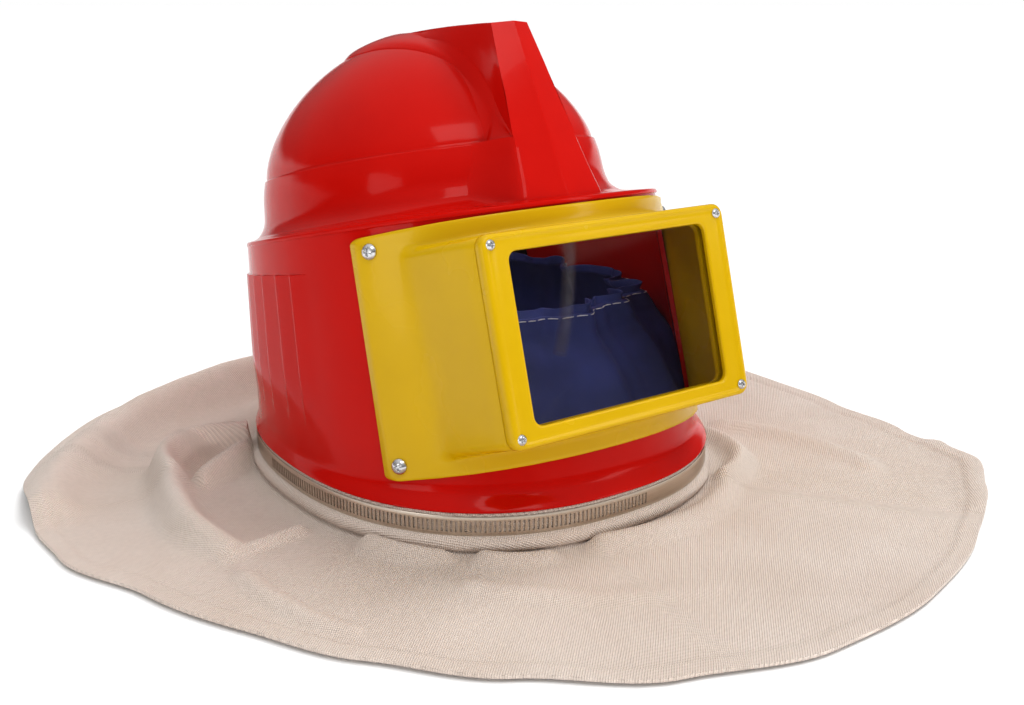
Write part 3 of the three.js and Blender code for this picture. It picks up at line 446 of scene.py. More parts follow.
def hole_edge(first_row, first_column, next_row, next_column):
    """Quads along one edge of the hole, from the outer wall to the inner."""
    outer, inner = np.array(outer_row) * count, np.array(inner_row) * count
    return np.stack([
        outer[first_row] + first_column, outer[next_row] + next_column,
        inner[next_row] + next_column, inner[first_row] + first_column,
    ], -1)


rim_quads = np.concatenate([
    hole_edge(low_row, across, low_row, across + 1)[:, ::-1],
    hole_edge(high_row, across, high_row, across + 1),
    hole_edge(up, left_column, up + 1, left_column),
    hole_edge(up, right_column, up + 1, right_column)[:, ::-1],
])

# The crest: a keeled front panel that runs up from the brim, and a fin over the dome whose
# foot swells into a crescent shoulder on each side. Moulded in one with the shell.
CREST_TOP, CREST_FRONT, CREST_SLOPE, CREST_KEEL = 263.0, 104.0, 0.3, 5.4
PANEL_COLUMNS, PANEL_SKIRT, PANEL_FALL = 61, 20.0, 2.2


def panel_half(z):
    """Half width of the front panel by its height in the crown frame."""
    return np.interp(z, [150, 178, 190, 216, 235, 263], [32, 26, 24, 20, 18, 14])


def crown_front(x, z):
    """How far the crown's wall stands out in front at a place across and a height."""
    table = np.array(BRIM_ROWS[-1:] + CROWN_ROWS + STEP_ROWS)
    half = np.interp(z, table[:, 0], table[:, 1])
    front = np.interp(z, table[:, 0], table[:, 2])
    middle = np.interp(z, table[:, 0], table[:, 4])
    across = np.clip(np.abs(x) / half, 0, 1)
    return (front + middle) * (1 - across**FRONT_POWER) ** (1 / FRONT_POWER) - middle


def soft_low(a, b, width):
    """The lower of two surfaces, rounded over a width where they cross; compact."""
    share = np.clip(0.5 + 0.5 * (b - a) / width, 0, 1)
    return b * (1 - share) + a * share - width * share * (1 - share)


def panel_grid(heights, skirt):
    """The front panel as a grid: keeled between its corners, falling back to the crown past them."""
    u = np.linspace(-1, 1, PANEL_COLUMNS)
    z = heights[:, None]
    corner = panel_half(z)
    x = u[None, :] * (corner + skirt)
    plane = CREST_FRONT + CREST_SLOPE * (CREST_TOP - z)
    keeled = plane + CREST_KEEL * (1 - np.abs(x) / corner)
    if skirt:
        round_over = 1.5 + 7.0 * np.clip((188 - z) / 30, 0, 1)
        stand = soft_low(keeled, plane - PANEL_FALL * (np.abs(x) - corner), round_over)
        keeled = -soft_low(-stand, -(crown_front(x, z) - 0.4), 10.0)
    return np.stack([x, -keeled, np.broadcast_to(z, x.shape)], -1)


low_panel = panel_grid(np.linspace(147.6, 189.2, 38), PANEL_SKIRT)
high_panel = panel_grid(np.linspace(188.9, CREST_TOP, 26), 0.0)
CREST_ROWS = np.array([
    # half width, y and height of the top edge, of the shoulder's upper edge and of its foot
    [14.0, -104, 263.0, 24.0, -125.9, 190.0, 24.4, -125.5, 189.0],
    [14.0, -98, 264.2, 19.7, -110, 204.5, 21.0, -110, 202.5],
    [14.0, -90, 265.6, 17.5, -96, 226.0, 20.4, -96, 217.0],
    [14.0, -80, 267.2, 17.0, -80, 243.0, 20.0, -80, 231.0],
    [14.0, -58, 270.7, 17.0, -58, 258.3, 20.6, -60, 246.0],
    [13.9, -38, 273.5, 17.0, -38, 266.0, 27.7, -42, 256.8],
    [13.7, -20, 275.8, 17.0, -20, 271.1, 37.5, -21, 263.6],
    [13.5, -2, 277.9, 17.5, -2, 274.6, 44.1, -3.8, 266.0],
    [13.3, 15, 279.7, 19.0, 15, 277.0, 47.4, 13, 266.5],
    [14.0, 35, 281.2, 21.5, 35, 278.3, 46.0, 34, 267.0],
    [15.0, 52, 281.5, 21.5, 52, 278.0, 40.0, 54, 264.0],
    [15.5, 68, 279.3, 20.0, 68, 275.5, 31.0, 72, 258.0],
    [13.0, 82, 272.5, 16.0, 83, 269.0, 22.0, 86, 255.0],
    [8.5, 94, 261.0, 10.5, 95, 258.5, 13.0, 97, 251.5],
    [3.5, 104, 248.5, 4.5, 105, 247.5, 6.0, 106, 245.5],
])


def dome_height(x, y):
    """The dome's height over a place: its ring through that place, found in a few rounds."""
    rise = np.full(np.shape(x), 0.8)
    for _ in range(40):
        away = y - (CROWN_MIDDLE + (DOME_PEAK_Y - CROWN_MIDDLE) * rise)
        power = np.where(away < 0, FRONT_POWER, BACK_POWER)
        depth = np.where(away < 0, DOME_FOOT[1], DOME_FOOT[2])
        part = np.abs(x / DOME_FOOT[0]) ** power + np.abs(away / depth) ** power
        left = np.clip(part ** (1 / power), 0, 1)
        rise = 0.5 * rise + 0.5 * (1 - left**1.9) ** (1 / 1.54)
    return STEP_HEIGHT + DOME_RISE * rise


stations = 99
FLANK_HOLLOW = 1.0
SHOULDER_PROUD = 3.0
crest_top, crest_arc, crest_foot = np.split(smooth_rows(CREST_ROWS, stations), 3, axis=1)
on_dome = np.clip((crest_foot[:, 1] + 84) / 20, 0, 1)
dome_there = dome_height(crest_foot[:, 0], crest_foot[:, 1]) + 0.5
crest_foot[:, 2] = crest_foot[:, 2] * (1 - on_dome) + dome_there * on_dome
# Below the foot the flank falls to the dome, and in front of the dome to the step's level
flank = crest_foot.copy()
flank[:, 0] += np.interp(crest_foot[:, 1], [-125.9, -106, -84, -62], [0.2, 9.5, 4.0, 0.5])
flank[:, 2] = dome_height(flank[:, 0], flank[:, 1]) - 0.5
section = [flank + [-0.6, 0, -3.0], flank]
for share in (0.2, 0.4, 0.6, 0.8):
    hollow = 4 * share * (1 - share) * (1 - on_dome)[:, None] * [FLANK_HOLLOW, 0, 0]
    section.append(flank * (1 - share) + crest_foot * share - hollow)
section.append(crest_foot)
for share in (0.05, 0.13, 0.25, 0.4, 0.55, 0.7, 0.85, 1.0):
    shoulder = crest_foot * (1 - share) + crest_arc * share
    over = dome_height(shoulder[:, 0], shoulder[:, 1]) + SHOULDER_PROUD * (1 - (1 - share) ** 8)
    shoulder[:, 2] = np.where(on_dome > 0, np.maximum(shoulder[:, 2], over), shoulder[:, 2])
    section.append(shoulder)
crest_arc = section[-1]
section += [
    crest_arc * 0.93 + crest_top * 0.07, crest_arc * 0.5 + crest_top * 0.5, crest_top + [0, 0, -1.4],
    crest_top + [-0.35, 0, -0.4], crest_top + [-1.3, 0, 0.0], crest_top * [0.45, 1, 1] + [0, 0, 0.15],
]
side = np.stack(section)
side[:, :, 0] = np.maximum(side[:, :, 0], 0.5)
crest = np.concatenate([side, side[::-1] * [-1, 1, 1]])
red_parts = [shell_points, poles] + [lean(part).reshape(-1, 3) for part in (crest, low_panel, high_panel)]
starts = np.cumsum([0] + [len(part) for part in red_parts])
red_faces = [list(face) for face in np.concatenate([shell_faces, rim_quads])]
red_faces += [list(face) for face in np.concatenate([cap_outer, cap_inner])]
red_faces += [list(face) for face in grid_faces(len(crest), stations, closed=False)[:, ::-1] + starts[2]]
red_faces += [list(face) for face in grid_faces(len(low_panel), PANEL_COLUMNS, closed=False) + starts[3]]
red_faces += [list(face) for face in grid_faces(len(high_panel), PANEL_COLUMNS, closed=False) + starts[4]]
red_gloss, tree, shader = finish_material(
    "red_gloss_moulding", (0.54, 0.006, 0.002), 0.16,
    IOR=1.5, Specular_IOR_Level=0.12, Coat_Weight=0.1, Coat_Roughness=0.03,
)


def vary(tree, shader, noise, dark, light, smooth, rough):
    """Drives a material's colour and its roughness from one noise, between two values each."""
    tint = add_node(tree, "ShaderNodeValToRGB")
    tint.color_ramp.elements[0].color = (*dark, 1.0)
    tint.color_ramp.elements[1].color = (*light, 1.0)
    shade = add_node(
        tree, "ShaderNodeMapRange", in_From_Min=0.3, in_From_Max=0.7, in_To_Min=smooth, in_To_Max=rough,
    )
    tree.links.new(noise.outputs["Fac"], tint.inputs["Fac"])
    tree.links.new(tint.outputs["Color"], shader.inputs["Base Color"])
    tree.links.new(noise.outputs["Fac"], shade.inputs["Value"])
    tree.links.new(shade.outputs["Result"], shader.inputs["Roughness"])


ripple, grain = noise_bumps(tree, shader, (22, 3, 0.12, 1.5), (900, 2, 0.05, 0.2))
vary(tree, shader, ripple, (0.49, 0.004, 0.0015), (0.58, 0.007, 0.002), 0.11, 0.2)
shell = add_mesh("red_shell", np.concatenate(red_parts) + rim_middle, red_faces, red_gloss, 28)
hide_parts("shell")
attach(shell, "root")

# The window box: a yellow moulding whose curved flange lies on the shell's front. Its walls
# stand out from the flange in a soft fillet and narrow towards the flat front.
FRAME_HALF = np.array([93.4, 61.95])
OPENING_HALF = np.array([75.5, 50.5])
FACE_Y, FACE_HEIGHT, FACE_LEAN = -183.8, 70.1, math.radians(3.1)
FLANGE_HALF, FLANGE_SPREAD, FLANGE_LOW, FLANGE_HIGH, FLANGE_DROP = 122.5, 4.6, -9.8, 143.2, 4.5
FLANGE_OFFSET, SEAT_GAP = 3.3, 0.3
BOX_FRONT, BOX_WALL, BOX_FILLET = 7.3, 3.0, 6.5


def rounded_loop(low, high, radius, arc=7, run=14):
    """Points round a rectangle with rounded corners, counter-clockwise, the same number always."""
    low, high = np.asarray(low, float), np.asarray(high, float)
    corners = [(low[0], low[1], 180), (high[0], low[1], 270), (high[0], high[1], 0), (low[0], high[1], 90)]
    arcs = []
    for x, y, start in corners:
        a = np.radians(start + np.linspace(0, 90, arc))
        inward = np.array([radius if x == low[0] else -radius, radius if y == low[1] else -radius])
        arcs.append(np.stack([x + inward[0] + radius * np.cos(a), y + inward[1] + radius * np.sin(a)], -1))
    share = np.linspace(0, 1, run + 2)[1:-1, None]
    parts = []
    for k in range(4):
        parts += [arcs[k], arcs[k][-1] * (1 - share) + arcs[(k + 1) % 4][0] * share]
    return np.concatenate(parts)


def face_frame(across, up, depth):
    """A place on the window's face, and so far behind it, in the crown frame."""
    s, c = math.sin(FACE_LEAN), math.cos(FACE_LEAN)
    return np.stack([across, FACE_Y + up * s + depth * c, FACE_HEIGHT + up * c - depth * s], -1)


def wall_depth(x, z, offset):
    """The body's front at a place across and up in the crown frame, by halving the angle."""
    low, high = np.full(np.shape(x), -np.pi), np.zeros(np.shape(x))
    for _ in range(34):
        angle = (low + high) / 2
        foot = upright(rings(BODY_FOOT, angle.ravel(), offset)[0]).reshape(*angle.shape, 3)
        top = rings(BODY_TOP, angle.ravel(), offset)[0].reshape(*angle.shape, 3)
        share = (z - foot[..., 2]) / (top[..., 2] - foot[..., 2])
        there = foot + (top - foot) * share[..., None]
        left = there[..., 0] < x
        low, high = np.where(left, angle, low), np.where(left, high, angle)
    return there[..., 1]


def box_loop(depth, inset):
    """The box's section at each point's own depth: it widens towards the body."""
    depth = np.asarray(depth, float)
    near = rounded_loop(-FRAME_HALF + 1.2 + inset, FRAME_HALF - 1.2 - inset, max(5.8 - inset * 0.6, 2.0))
    wide = near / (FRAME_HALF - 1.2 - inset)
    grow = np.stack([0.18 * depth, np.where(near[:, 1] > 0, 0.024, 0.08) * depth], -1)
    spot = near + wide * grow
    return face_frame(spot[:, 0], spot[:, 1], depth)


def box_meets_body(inset, offset):
    """Depth behind the face at which each line of the box's wall reaches the body."""
    count = len(rounded_loop((-1, -1), (1, 1), 0.5))
    low, high = np.full(count, 8.0), np.full(count, 120.0)
    for _ in range(26):
        depth = (low + high) / 2
        spot = box_loop(depth, inset)
        outside = spot[:, 1] < wall_depth(spot[:, 0], spot[:, 2], offset)
        low, high = np.where(outside, depth, low), np.where(outside, high, depth)
    return depth


def on_body(flat, offset):
    """A loop given across and up, laid on the body at an offset."""
    return np.stack([flat[:, 0], wall_depth(flat[:, 0], flat[:, 1], offset), flat[:, 1]], -1)


# The flange is wider at its foot, and its top edge falls towards the corners
outline = rounded_loop((-FLANGE_HALF, FLANGE_LOW), (FLANGE_HALF, FLANGE_HIGH), 4.0)
up_share = (outline[:, 1] - FLANGE_LOW) / (FLANGE_HIGH - FLANGE_LOW)
side_share = outline[:, 0] / FLANGE_HALF
outline = np.stack([
    outline[:, 0] + FLANGE_SPREAD * side_share * (1 - up_share),
    outline[:, 1] - FLANGE_DROP * side_share**4 * up_share,
], -1)
meet = box_meets_body(0.0, FLANGE_OFFSET)
foot = box_loop(meet, 0.0)
tunnel_meet = box_meets_body(BOX_WALL, SEAT_GAP)
tunnel_foot = box_loop(tunnel_meet, BOX_WALL)
flat_foot = foot[:, [0, 2]]
reach = np.linalg.norm(outline - flat_foot, axis=1)
to_foot = (flat_foot - outline) / reach[:, None]
fillet_out = flat_foot - to_foot * np.minimum(BOX_FILLET, 0.8 * reach)[:, None]
edge_start = outline + to_foot * 0.35
flange_start = outline + to_foot * np.minimum(1.1, 0.2 * reach)[:, None]
# The flange's outer edge, its face, the fillet up to the wall, and the wall up to the front
rows = [on_body(outline, SEAT_GAP), on_body(outline, FLANGE_OFFSET - 0.9)]
rows.append(on_body(edge_start, FLANGE_OFFSET - 0.25))
for share in np.linspace(0, 1, 6):
    rows.append(on_body(flange_start * (1 - share) + fillet_out * share, FLANGE_OFFSET))
fillet_start, fillet_in = rows[-1], box_loop(meet - BOX_FILLET, 0.0)
for t in (0.2, 0.4, 0.6, 0.8, 1.0):
    rows.append(fillet_start * (1 - t) ** 2 + foot * 2 * t * (1 - t) + fillet_in * t**2)
for t in np.linspace(0, 1, 6)[1:]:
    rows.append(box_loop((meet - BOX_FILLET) * (1 - t) + (BOX_FRONT + 1.3) * t, 0.0))
rows += [box_loop(np.full(len(meet), BOX_FRONT + 0.3), 0.4), box_loop(np.full(len(meet), BOX_FRONT), 1.2)]
opening = rounded_loop(-OPENING_HALF, OPENING_HALF, 6.0)
count = len(opening)
plate_back = np.full(count, BOX_FRONT + BOX_WALL)
rows += [
    face_frame(opening[:, 0], opening[:, 1], np.full(count, BOX_FRONT)),
    face_frame(opening[:, 0], opening[:, 1], plate_back),
    box_loop(plate_back, BOX_WALL),
]
for t in np.linspace(0, 1, 5)[1:]:
    rows.append(box_loop(plate_back * (1 - t) + tunnel_meet * t, BOX_WALL))
for t in (0.25, 0.5, 0.75):
    rows.append(on_body(tunnel_foot[:, [0, 2]] * (1 - t) + outline * t, SEAT_GAP))
box_rows = lean(np.stack(rows))
yellow_gloss, tree, shader = finish_material(
    "yellow_gloss_moulding", (0.64, 0.40, 0.0), 0.24,
    IOR=1.5, Specular_IOR_Level=0.25, Coat_Weight=0.15, Coat_Roughness=0.08,
)
ripple, peel = noise_bumps(tree, shader, (18, 3, 0.15, 1.5), (420, 2, 0.1, 0.2))
vary(tree, shader, ripple, (0.59, 0.365, 0.0), (0.69, 0.44, 0.0), 0.18, 0.3)
window_box = add_mesh(
    "yellow_window_box", box_rows.reshape(-1, 3) + rim_middle,
    grid_faces(len(rows), count, looped=True), yellow_gloss, 40,
)
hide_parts("window_box")
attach(window_box, "root")

# The front frame: a yellow plate with a rounded bead along its edge and a recess for the pane,
# held on the box by a screw in each corner.
FRAME_PROFILE = [
    # share of the way from the outer edge to the opening, depth behind the face
    (0.012, 7.0), (0.0, 6.6), (0.0, 3.6), (0.018, 1.9), (0.06, 0.75), (0.12, 0.12), (0.19, 0.0),
    (0.27, 0.14), (0.33, 0.45), (0.38, 0.62), (0.6, 0.62), (0.86, 0.6), (0.93, 0.66), (0.975, 0.95),
    (0.995, 1.5), (1.0, 2.2), (1.0, 3.7),
]
PANE_LAP = 3.3
outer_loop = rounded_loop(-FRAME_HALF, FRAME_HALF, 7.0)
rows = []
for share, depth in FRAME_PROFILE:
    flat = outer_loop * (1 - share) + opening * share
    rows.append(face_frame(flat[:, 0], flat[:, 1], np.full(count, depth)))
pocket = rounded_loop(-OPENING_HALF - PANE_LAP, OPENING_HALF + PANE_LAP, 6.0)
for flat, depth in ((pocket, 3.7), (pocket, 7.0)):
    rows.append(face_frame(flat[:, 0], flat[:, 1], np.full(count, depth)))
frame_rows = lean(np.stack(rows))
front_frame = add_mesh(
    "yellow_front_frame", frame_rows.reshape(-1, 3) + rim_middle,
    grid_faces(len(rows), count, looped=True), yellow_gloss, 40,
)
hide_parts("front_frame")
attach(front_frame, "root")

# The pane: a clear flat sheet, 3 mm thick, behind the front frame.
pane_loop = rounded_loop(-OPENING_HALF - 3.0, OPENING_HALF + 3.0, 6.0)
rows = []
for scale, depth in ((0.5, 4.0), (0.996, 4.0), (1.0, 4.2), (1.0, 6.5), (0.996, 6.7), (0.5, 6.7)):
    rows.append(face_frame(pane_loop[:, 0] * scale, pane_loop[:, 1] * scale, np.full(count, depth)))
pane_rows = lean(np.stack(rows)).reshape(-1, 3) + rim_middle
pane_faces = [list(face) for face in grid_faces(len(rows), count)[:, ::-1]]
middle_out = lean(face_frame(np.zeros(1), np.zeros(1), np.full(1, 4.0))) + rim_middle
middle_in = lean(face_frame(np.zeros(1), np.zeros(1), np.full(1, 6.7))) + rim_middle
ring = np.arange(count)
for a, b in zip(ring.tolist(), ((ring + 1) % count).tolist()):
    pane_faces.append([a, b, len(pane_rows)])
    pane_faces.append([b + 5 * count, a + 5 * count, len(pane_rows) + 1])
clear_sheet, tree, shader = finish_material(
    "clear_pane_sheet", (0.012, 0.012, 0.014), 0.03, IOR=1.5, Alpha=0.1, Specular_IOR_Level=0.35,
)


def vary_roughness(tree, shader, scale, detail, smooth, rough):
    """Drives a material's roughness from noise, between two values."""
    place = add_node(tree, "ShaderNodeTexCoord")
    noise = add_node(tree, "ShaderNodeTexNoise", in_Scale=scale, in_Detail=detail)
    shade = add_node(
        tree, "ShaderNodeMapRange", in_From_Min=0.3, in_From_Max=0.7, in_To_Min=smooth, in_To_Max=rough,
    )
    tree.links.new(place.outputs["Object"], noise.inputs["Vector"])
    tree.links.new(noise.outputs["Fac"], shade.inputs["Value"])
    tree.links.new(shade.outputs["Result"], shader.inputs["Roughness"])


vary_roughness(tree, shader, 16.0, 4.0, 0.02, 0.09)
window_pane = add_mesh(
    "clear_window_pane", np.concatenate([pane_rows, middle_out, middle_in]), pane_faces, clear_sheet,
)
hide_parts("window_pane")
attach(window_pane, "root")

# The screws: bright pan heads with a cross recess, four small ones in the front frame and four
# larger ones through the flange.
plated, tree, shader = finish_material("plated_screw", (0.66, 0.66, 0.67), 0.16, Metallic=1.0)
vary_roughness(tree, shader, 650.0, 3.0, 0.1, 0.3)
SCREW_SIDES = 48
FACE_SCREW_INSET = 6.5


def screw_head(radius, height, turn):
    """Rings of a domed head with two crossed slots sunk in it, turned by an angle."""
    radii = radius * np.concatenate([np.linspace(0.03, 0.53, 9), [0.6, 0.7, 0.8, 0.89, 0.95, 0.99, 1.0]])
    dome = height * (1 - 0.85 * (radii / radius) ** 3.2)
    around = np.linspace(0, 2 * np.pi, SCREW_SIDES, endpoint=False)
    x = radii[:, None] * np.cos(around)
    y = radii[:, None] * np.sin(around)
    a = x * math.cos(turn) + y * math.sin(turn)
    b = y * math.cos(turn) - x * math.sin(turn)
    slot_half, slot_end = 0.13 * radius, 0.56 * radius
    slots = []
    for p, q in ((a, b), (b, a)):
        beside = np.clip((slot_half * 1.35 - np.abs(p)) / (0.5 * slot_half), 0, 1)
        slots.append(beside * np.clip((slot_end - np.abs(q)) / (0.2 * slot_end), 0, 1))
    z = dome[:, None] - 0.62 * height * np.maximum(*slots)
    skirt = np.stack([radius * np.cos(around), radius * np.sin(around), np.zeros(SCREW_SIDES)], -1)
    return np.concatenate([np.stack([x, y, z], -1), skirt[None]])


for node in sorted(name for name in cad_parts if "_screw_" in name):
    across = 1.0 if node.endswith("left") else -1.0
    up = 1.0 if "upper" in node else -1.0
    if node.startswith("face"):
        radius, height = 3.2, 1.8
        corner = np.array([across, up]) * (FRAME_HALF - FACE_SCREW_INSET)
        seat, outside = lean(face_frame(corner[:1].repeat(2), corner[1:].repeat(2), np.array([0.3, -0.7])))
        normal = outside - seat
    else:
        radius, height = 5.0, 2.8
        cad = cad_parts[node].data
        spots = np.empty(len(cad.vertices) * 3)
        cad.vertices.foreach_get("co", spots)
        spots = spots.reshape(-1, 3) / MM - rim_middle
        centre = spots.mean(0)
        values, vectors = np.linalg.eigh(np.cov((spots - centre).T))
        normal = vectors[:, np.argmax(values)]
        outward_way = np.array([across, -1.0, 0.0])
        normal = normal * np.sign(normal @ outward_way)
        along = (spots - centre) @ normal
        rim = spots[np.linalg.norm(np.cross(spots - centre, normal), axis=1) > 4.0]
        seat = centre + normal * (((rim - centre) @ normal).min())
    side_way = np.cross([0.0, 0.0, 1.0], normal)
    side_way /= np.linalg.norm(side_way)
    up_way = np.cross(normal, side_way)
    head = screw_head(radius, height, 0.4 + 0.9 * across + 0.5 * up)
    basis = np.stack([side_way, up_way, normal])
    points = (head.reshape(-1, 3) @ basis + seat).reshape(-1, 3)
    crown_top = head[0].mean(0) @ basis + seat
    ring = np.arange(SCREW_SIDES)
    faces = [list(face) for face in grid_faces(len(head), SCREW_SIDES)[:, ::-1]]
    foot_start = (len(head) - 1) * SCREW_SIDES
    for a, b in zip(ring.tolist(), ((ring + 1) % SCREW_SIDES).tolist()):
        faces.append([a, b, len(points)])
        faces.append([foot_start + b, foot_start + a, len(points) + 1])
    points = np.concatenate([points, [crown_top, seat]]) + rim_middle
    screw = add_mesh(node + "_head", points, faces, plated, 50)
    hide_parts(node)
    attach(screw, "root")

# The clamp band: 12.7 mm steel strip, 0.8 mm thick, drawn round the canvas. Its worm slots run
# from the wearer's right side round to the front; the rest is plain.
NECK = np.array([[0.0, 148.1, 163.6, 163.6, 0.0, 2.3, 2.3]])
BAND_IN, BAND_THICK, BAND_TOP, BAND_HEIGHT = 2.6, 0.8, -3.4, 12.7
SLOT_FIRST, SLOT_LAST, SLOT_COUNT, SLOT_HEIGHT = 173.0, 275.6, 103, 7.2


def neck_ring(angles, offset, heights):
    """Points round the neck at an offset, one row for each height."""
    flat = rings(NECK, angles, offset)[0]
    rows = np.repeat(flat[None], len(heights), 0)
    rows[..., 2] = np.asarray(heights, float)[:, None]
    return rows


fine_angles = np.radians(np.linspace(SLOT_FIRST, SLOT_LAST, 4000))
steps = np.linalg.norm(np.diff(neck_ring(fine_angles, BAND_IN, [0])[0], axis=0), axis=1)
travel = np.concatenate([[0], np.cumsum(steps)])
pitch = travel[-1] / SLOT_COUNT
edges = (np.arange(SLOT_COUNT)[:, None] + np.array([0.0, 0.26, 0.74])[None]).ravel() * pitch
slot_angles = np.interp(np.append(edges, travel[-1]), travel, fine_angles)
plain_angles = np.radians(np.linspace(SLOT_LAST, SLOT_FIRST + 360, 180)[1:-1])
band_angles = np.concatenate([slot_angles, plain_angles])
middle = BAND_TOP - BAND_HEIGHT / 2
BAND_FOOT, ROLLED_EDGE = BAND_TOP - BAND_HEIGHT, 0.5
levels = [BAND_FOOT, BAND_FOOT + ROLLED_EDGE, middle - SLOT_HEIGHT / 2, middle + SLOT_HEIGHT / 2]
levels += [BAND_TOP - ROLLED_EDGE, BAND_TOP]
outer = neck_ring(band_angles, BAND_IN + BAND_THICK, levels)
outer[[0, -1]] = neck_ring(band_angles, BAND_IN + BAND_THICK - 0.25, [levels[0], levels[-1]])
inner = neck_ring(band_angles, BAND_IN, levels)[::-1]
band_rows = np.concatenate([outer, inner])
count = len(band_angles)
faces = grid_faces(12, count, looped=True)
column = faces[:, 0] % count
row = faces[:, 0] // count
slotted = (column < 3 * SLOT_COUNT) & (column % 3 == 1) & ((row == 2) | (row == 8))
faces = faces[~slotted]
first = np.arange(SLOT_COUNT) * 3 + 1
a, b = 2 * count + first, 3 * count + first
c, d = 9 * count + first, 8 * count + first
slot_walls = np.concatenate([
    np.stack([a, b, d, c], -1)[:, ::-1], np.stack([a + 1, b + 1, d + 1, c + 1], -1),
    np.stack([a, a + 1, c + 1, c], -1), np.stack([b, b + 1, d + 1, d], -1)[:, ::-1],
])
band_steel, tree, shader = finish_material("rolled_steel_strip", (0.60, 0.53, 0.45), 0.28, Metallic=1.0)
place = add_node(tree, "ShaderNodeTexCoord")
stretch = add_node(tree, "ShaderNodeMapping")
stretch.inputs["Scale"].default_value = (12.0, 12.0, 900.0)
draw_lines = add_node(tree, "ShaderNodeTexNoise", in_Scale=3.0, in_Detail=4.0)
tint = add_node(tree, "ShaderNodeValToRGB")
tint.color_ramp.elements[0].color = (0.48, 0.41, 0.34, 1.0)
tint.color_ramp.elements[1].color = (0.74, 0.66, 0.57, 1.0)
line_bump = add_node(tree, "ShaderNodeBump", in_Strength=0.12, in_Distance=0.0001)
tree.links.new(place.outputs["Object"], stretch.inputs["Vector"])
tree.links.new(stretch.outputs["Vector"], draw_lines.inputs["Vector"])
tree.links.new(draw_lines.outputs["Fac"], tint.inputs["Fac"])
tree.links.new(tint.outputs["Color"], shader.inputs["Base Color"])
tree.links.new(draw_lines.outputs["Fac"], line_bump.inputs["Height"])
tree.links.new(line_bump.outputs["Normal"], shader.inputs["Normal"])
clamp_band = add_mesh(
    "slotted_clamp_band", band_rows.reshape(-1, 3) + rim_middle,
    np.concatenate([faces, slot_walls]), band_steel, 40,
)
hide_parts("clamp_band")
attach(clamp_band, "root")

# The worm housing: a plain folded block with its screw across it, out of sight at the back.
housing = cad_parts["clamp_housing"]
housing.data.materials.clear()
housing.data.materials.append(band_steel)

# The cape: heavy cream canvas, gathered under the band, rolled over below it and lying on the
# table in loose folds. Its hem is turned and stitched 12 mm from the edge.
CANVAS = 2.0
CAPE_REACH, FOLD_HEIGHT, ROLL_WIDTH = 340.0, 32.0, 5.2
CAPE_LIFT, HEM_STITCH, WRINKLE_COUNT, WRINKLE_HEIGHT = 0.6, 12.5, 46, 1.2
CAPE_COLUMNS = 420
OUTLINE_ROWS = np.array([
    [-180, 0.888], [-165, 0.836], [-150, 0.832], [-135, 0.857], [-120, 0.896], [-105, 0.952],
    [-90, 0.994], [-75, 1.01], [-60, 1.024], [-48, 1.046], [-40, 1.064], [-35, 1.025],
    [-28, 0.974], [-16, 0.914], [-2, 0.892], [15, 0.9], [40, 0.895], [65, 0.88],
    [90, 0.882], [115, 0.9], [135, 0.925], [155, 0.93], [170, 0.905], [180, 0.888],
])
FOLDS = [
    # from, over, to: polar angle and share of the way to the hem; height, half width, loss of height
    [48, 0.4, 120, 0.52, 166, 0.93, 1.0, 0.72, 0.5],
    [149, 0.02, 149, 0.46, 166, 0.4, 0.9, 0.42, 0.1],
    [166, 0.4, 176, 0.46, 193, 0.5, 0.72, 0.42, 0.6],
    [154, 0.04, 159, 0.12, 164, 0.26, 0.62, 0.28, 0.3],
    [197, 0.14, 196, 0.33, 195, 0.5, 0.2, 0.2, 0.2],
    [214, 0.04, 222, 0.07, 229, 0.05, 0.3, 0.3, 0.3],
    [238, 0.05, 244, 0.09, 250, 0.05, 0.24, 0.28, 0.3],
    [262, 0.05, 290, 0.12, 306, 0.06, 0.3, 0.36, 0.3],
    [306, 0.06, 318, 0.16, 334, 0.1, 0.4, 0.32, 0.3],
    [340, 0.25, 330, 0.5, 318, 0.6, 0.2, 0.4, 0.3],
    [308, 0.99, 318, 0.97, 326, 0.99, 0.2, 0.5, 0.3],
    [202, 0.62, 212, 0.78, 222, 0.8, 0.14, 0.25, 0.4],
    [236, 0.3, 250, 0.42, 268, 0.5, 0.12, 0.4, 0.5],
]


def outline_reach(angle):
    """Reach of the hem in a polar direction, eased between the rows of the outline."""
    degrees = (np.degrees(angle) + 180) % 360 - 180
    last = np.clip(np.searchsorted(OUTLINE_ROWS[:, 0], degrees), 1, len(OUTLINE_ROWS) - 1)
    before, after = OUTLINE_ROWS[last - 1], OUTLINE_ROWS[last]
    share = (degrees - before[..., 0]) / (after[..., 0] - before[..., 0])
    share = share * share * (3 - 2 * share)
    return CAPE_REACH * (before[..., 1] * (1 - share) + after[..., 1] * share)


def roll_reach(angle):
    """Reach of the roll's outer edge in a polar direction."""
    x = np.abs(np.cos(angle)) / (148.1 + CANVAS + ROLL_WIDTH)
    y = np.abs(np.sin(angle)) / (163.6 + CANVAS + ROLL_WIDTH)
    return (x**2.3 + y**2.3) ** (-1 / 2.3)


def cape_place(angle, share):
    """A place on the table between the roll and the hem."""
    reach = roll_reach(angle) * (1 - share) + outline_reach(angle) * share
    return np.stack([reach * np.cos(angle), reach * np.sin(angle)], -1)


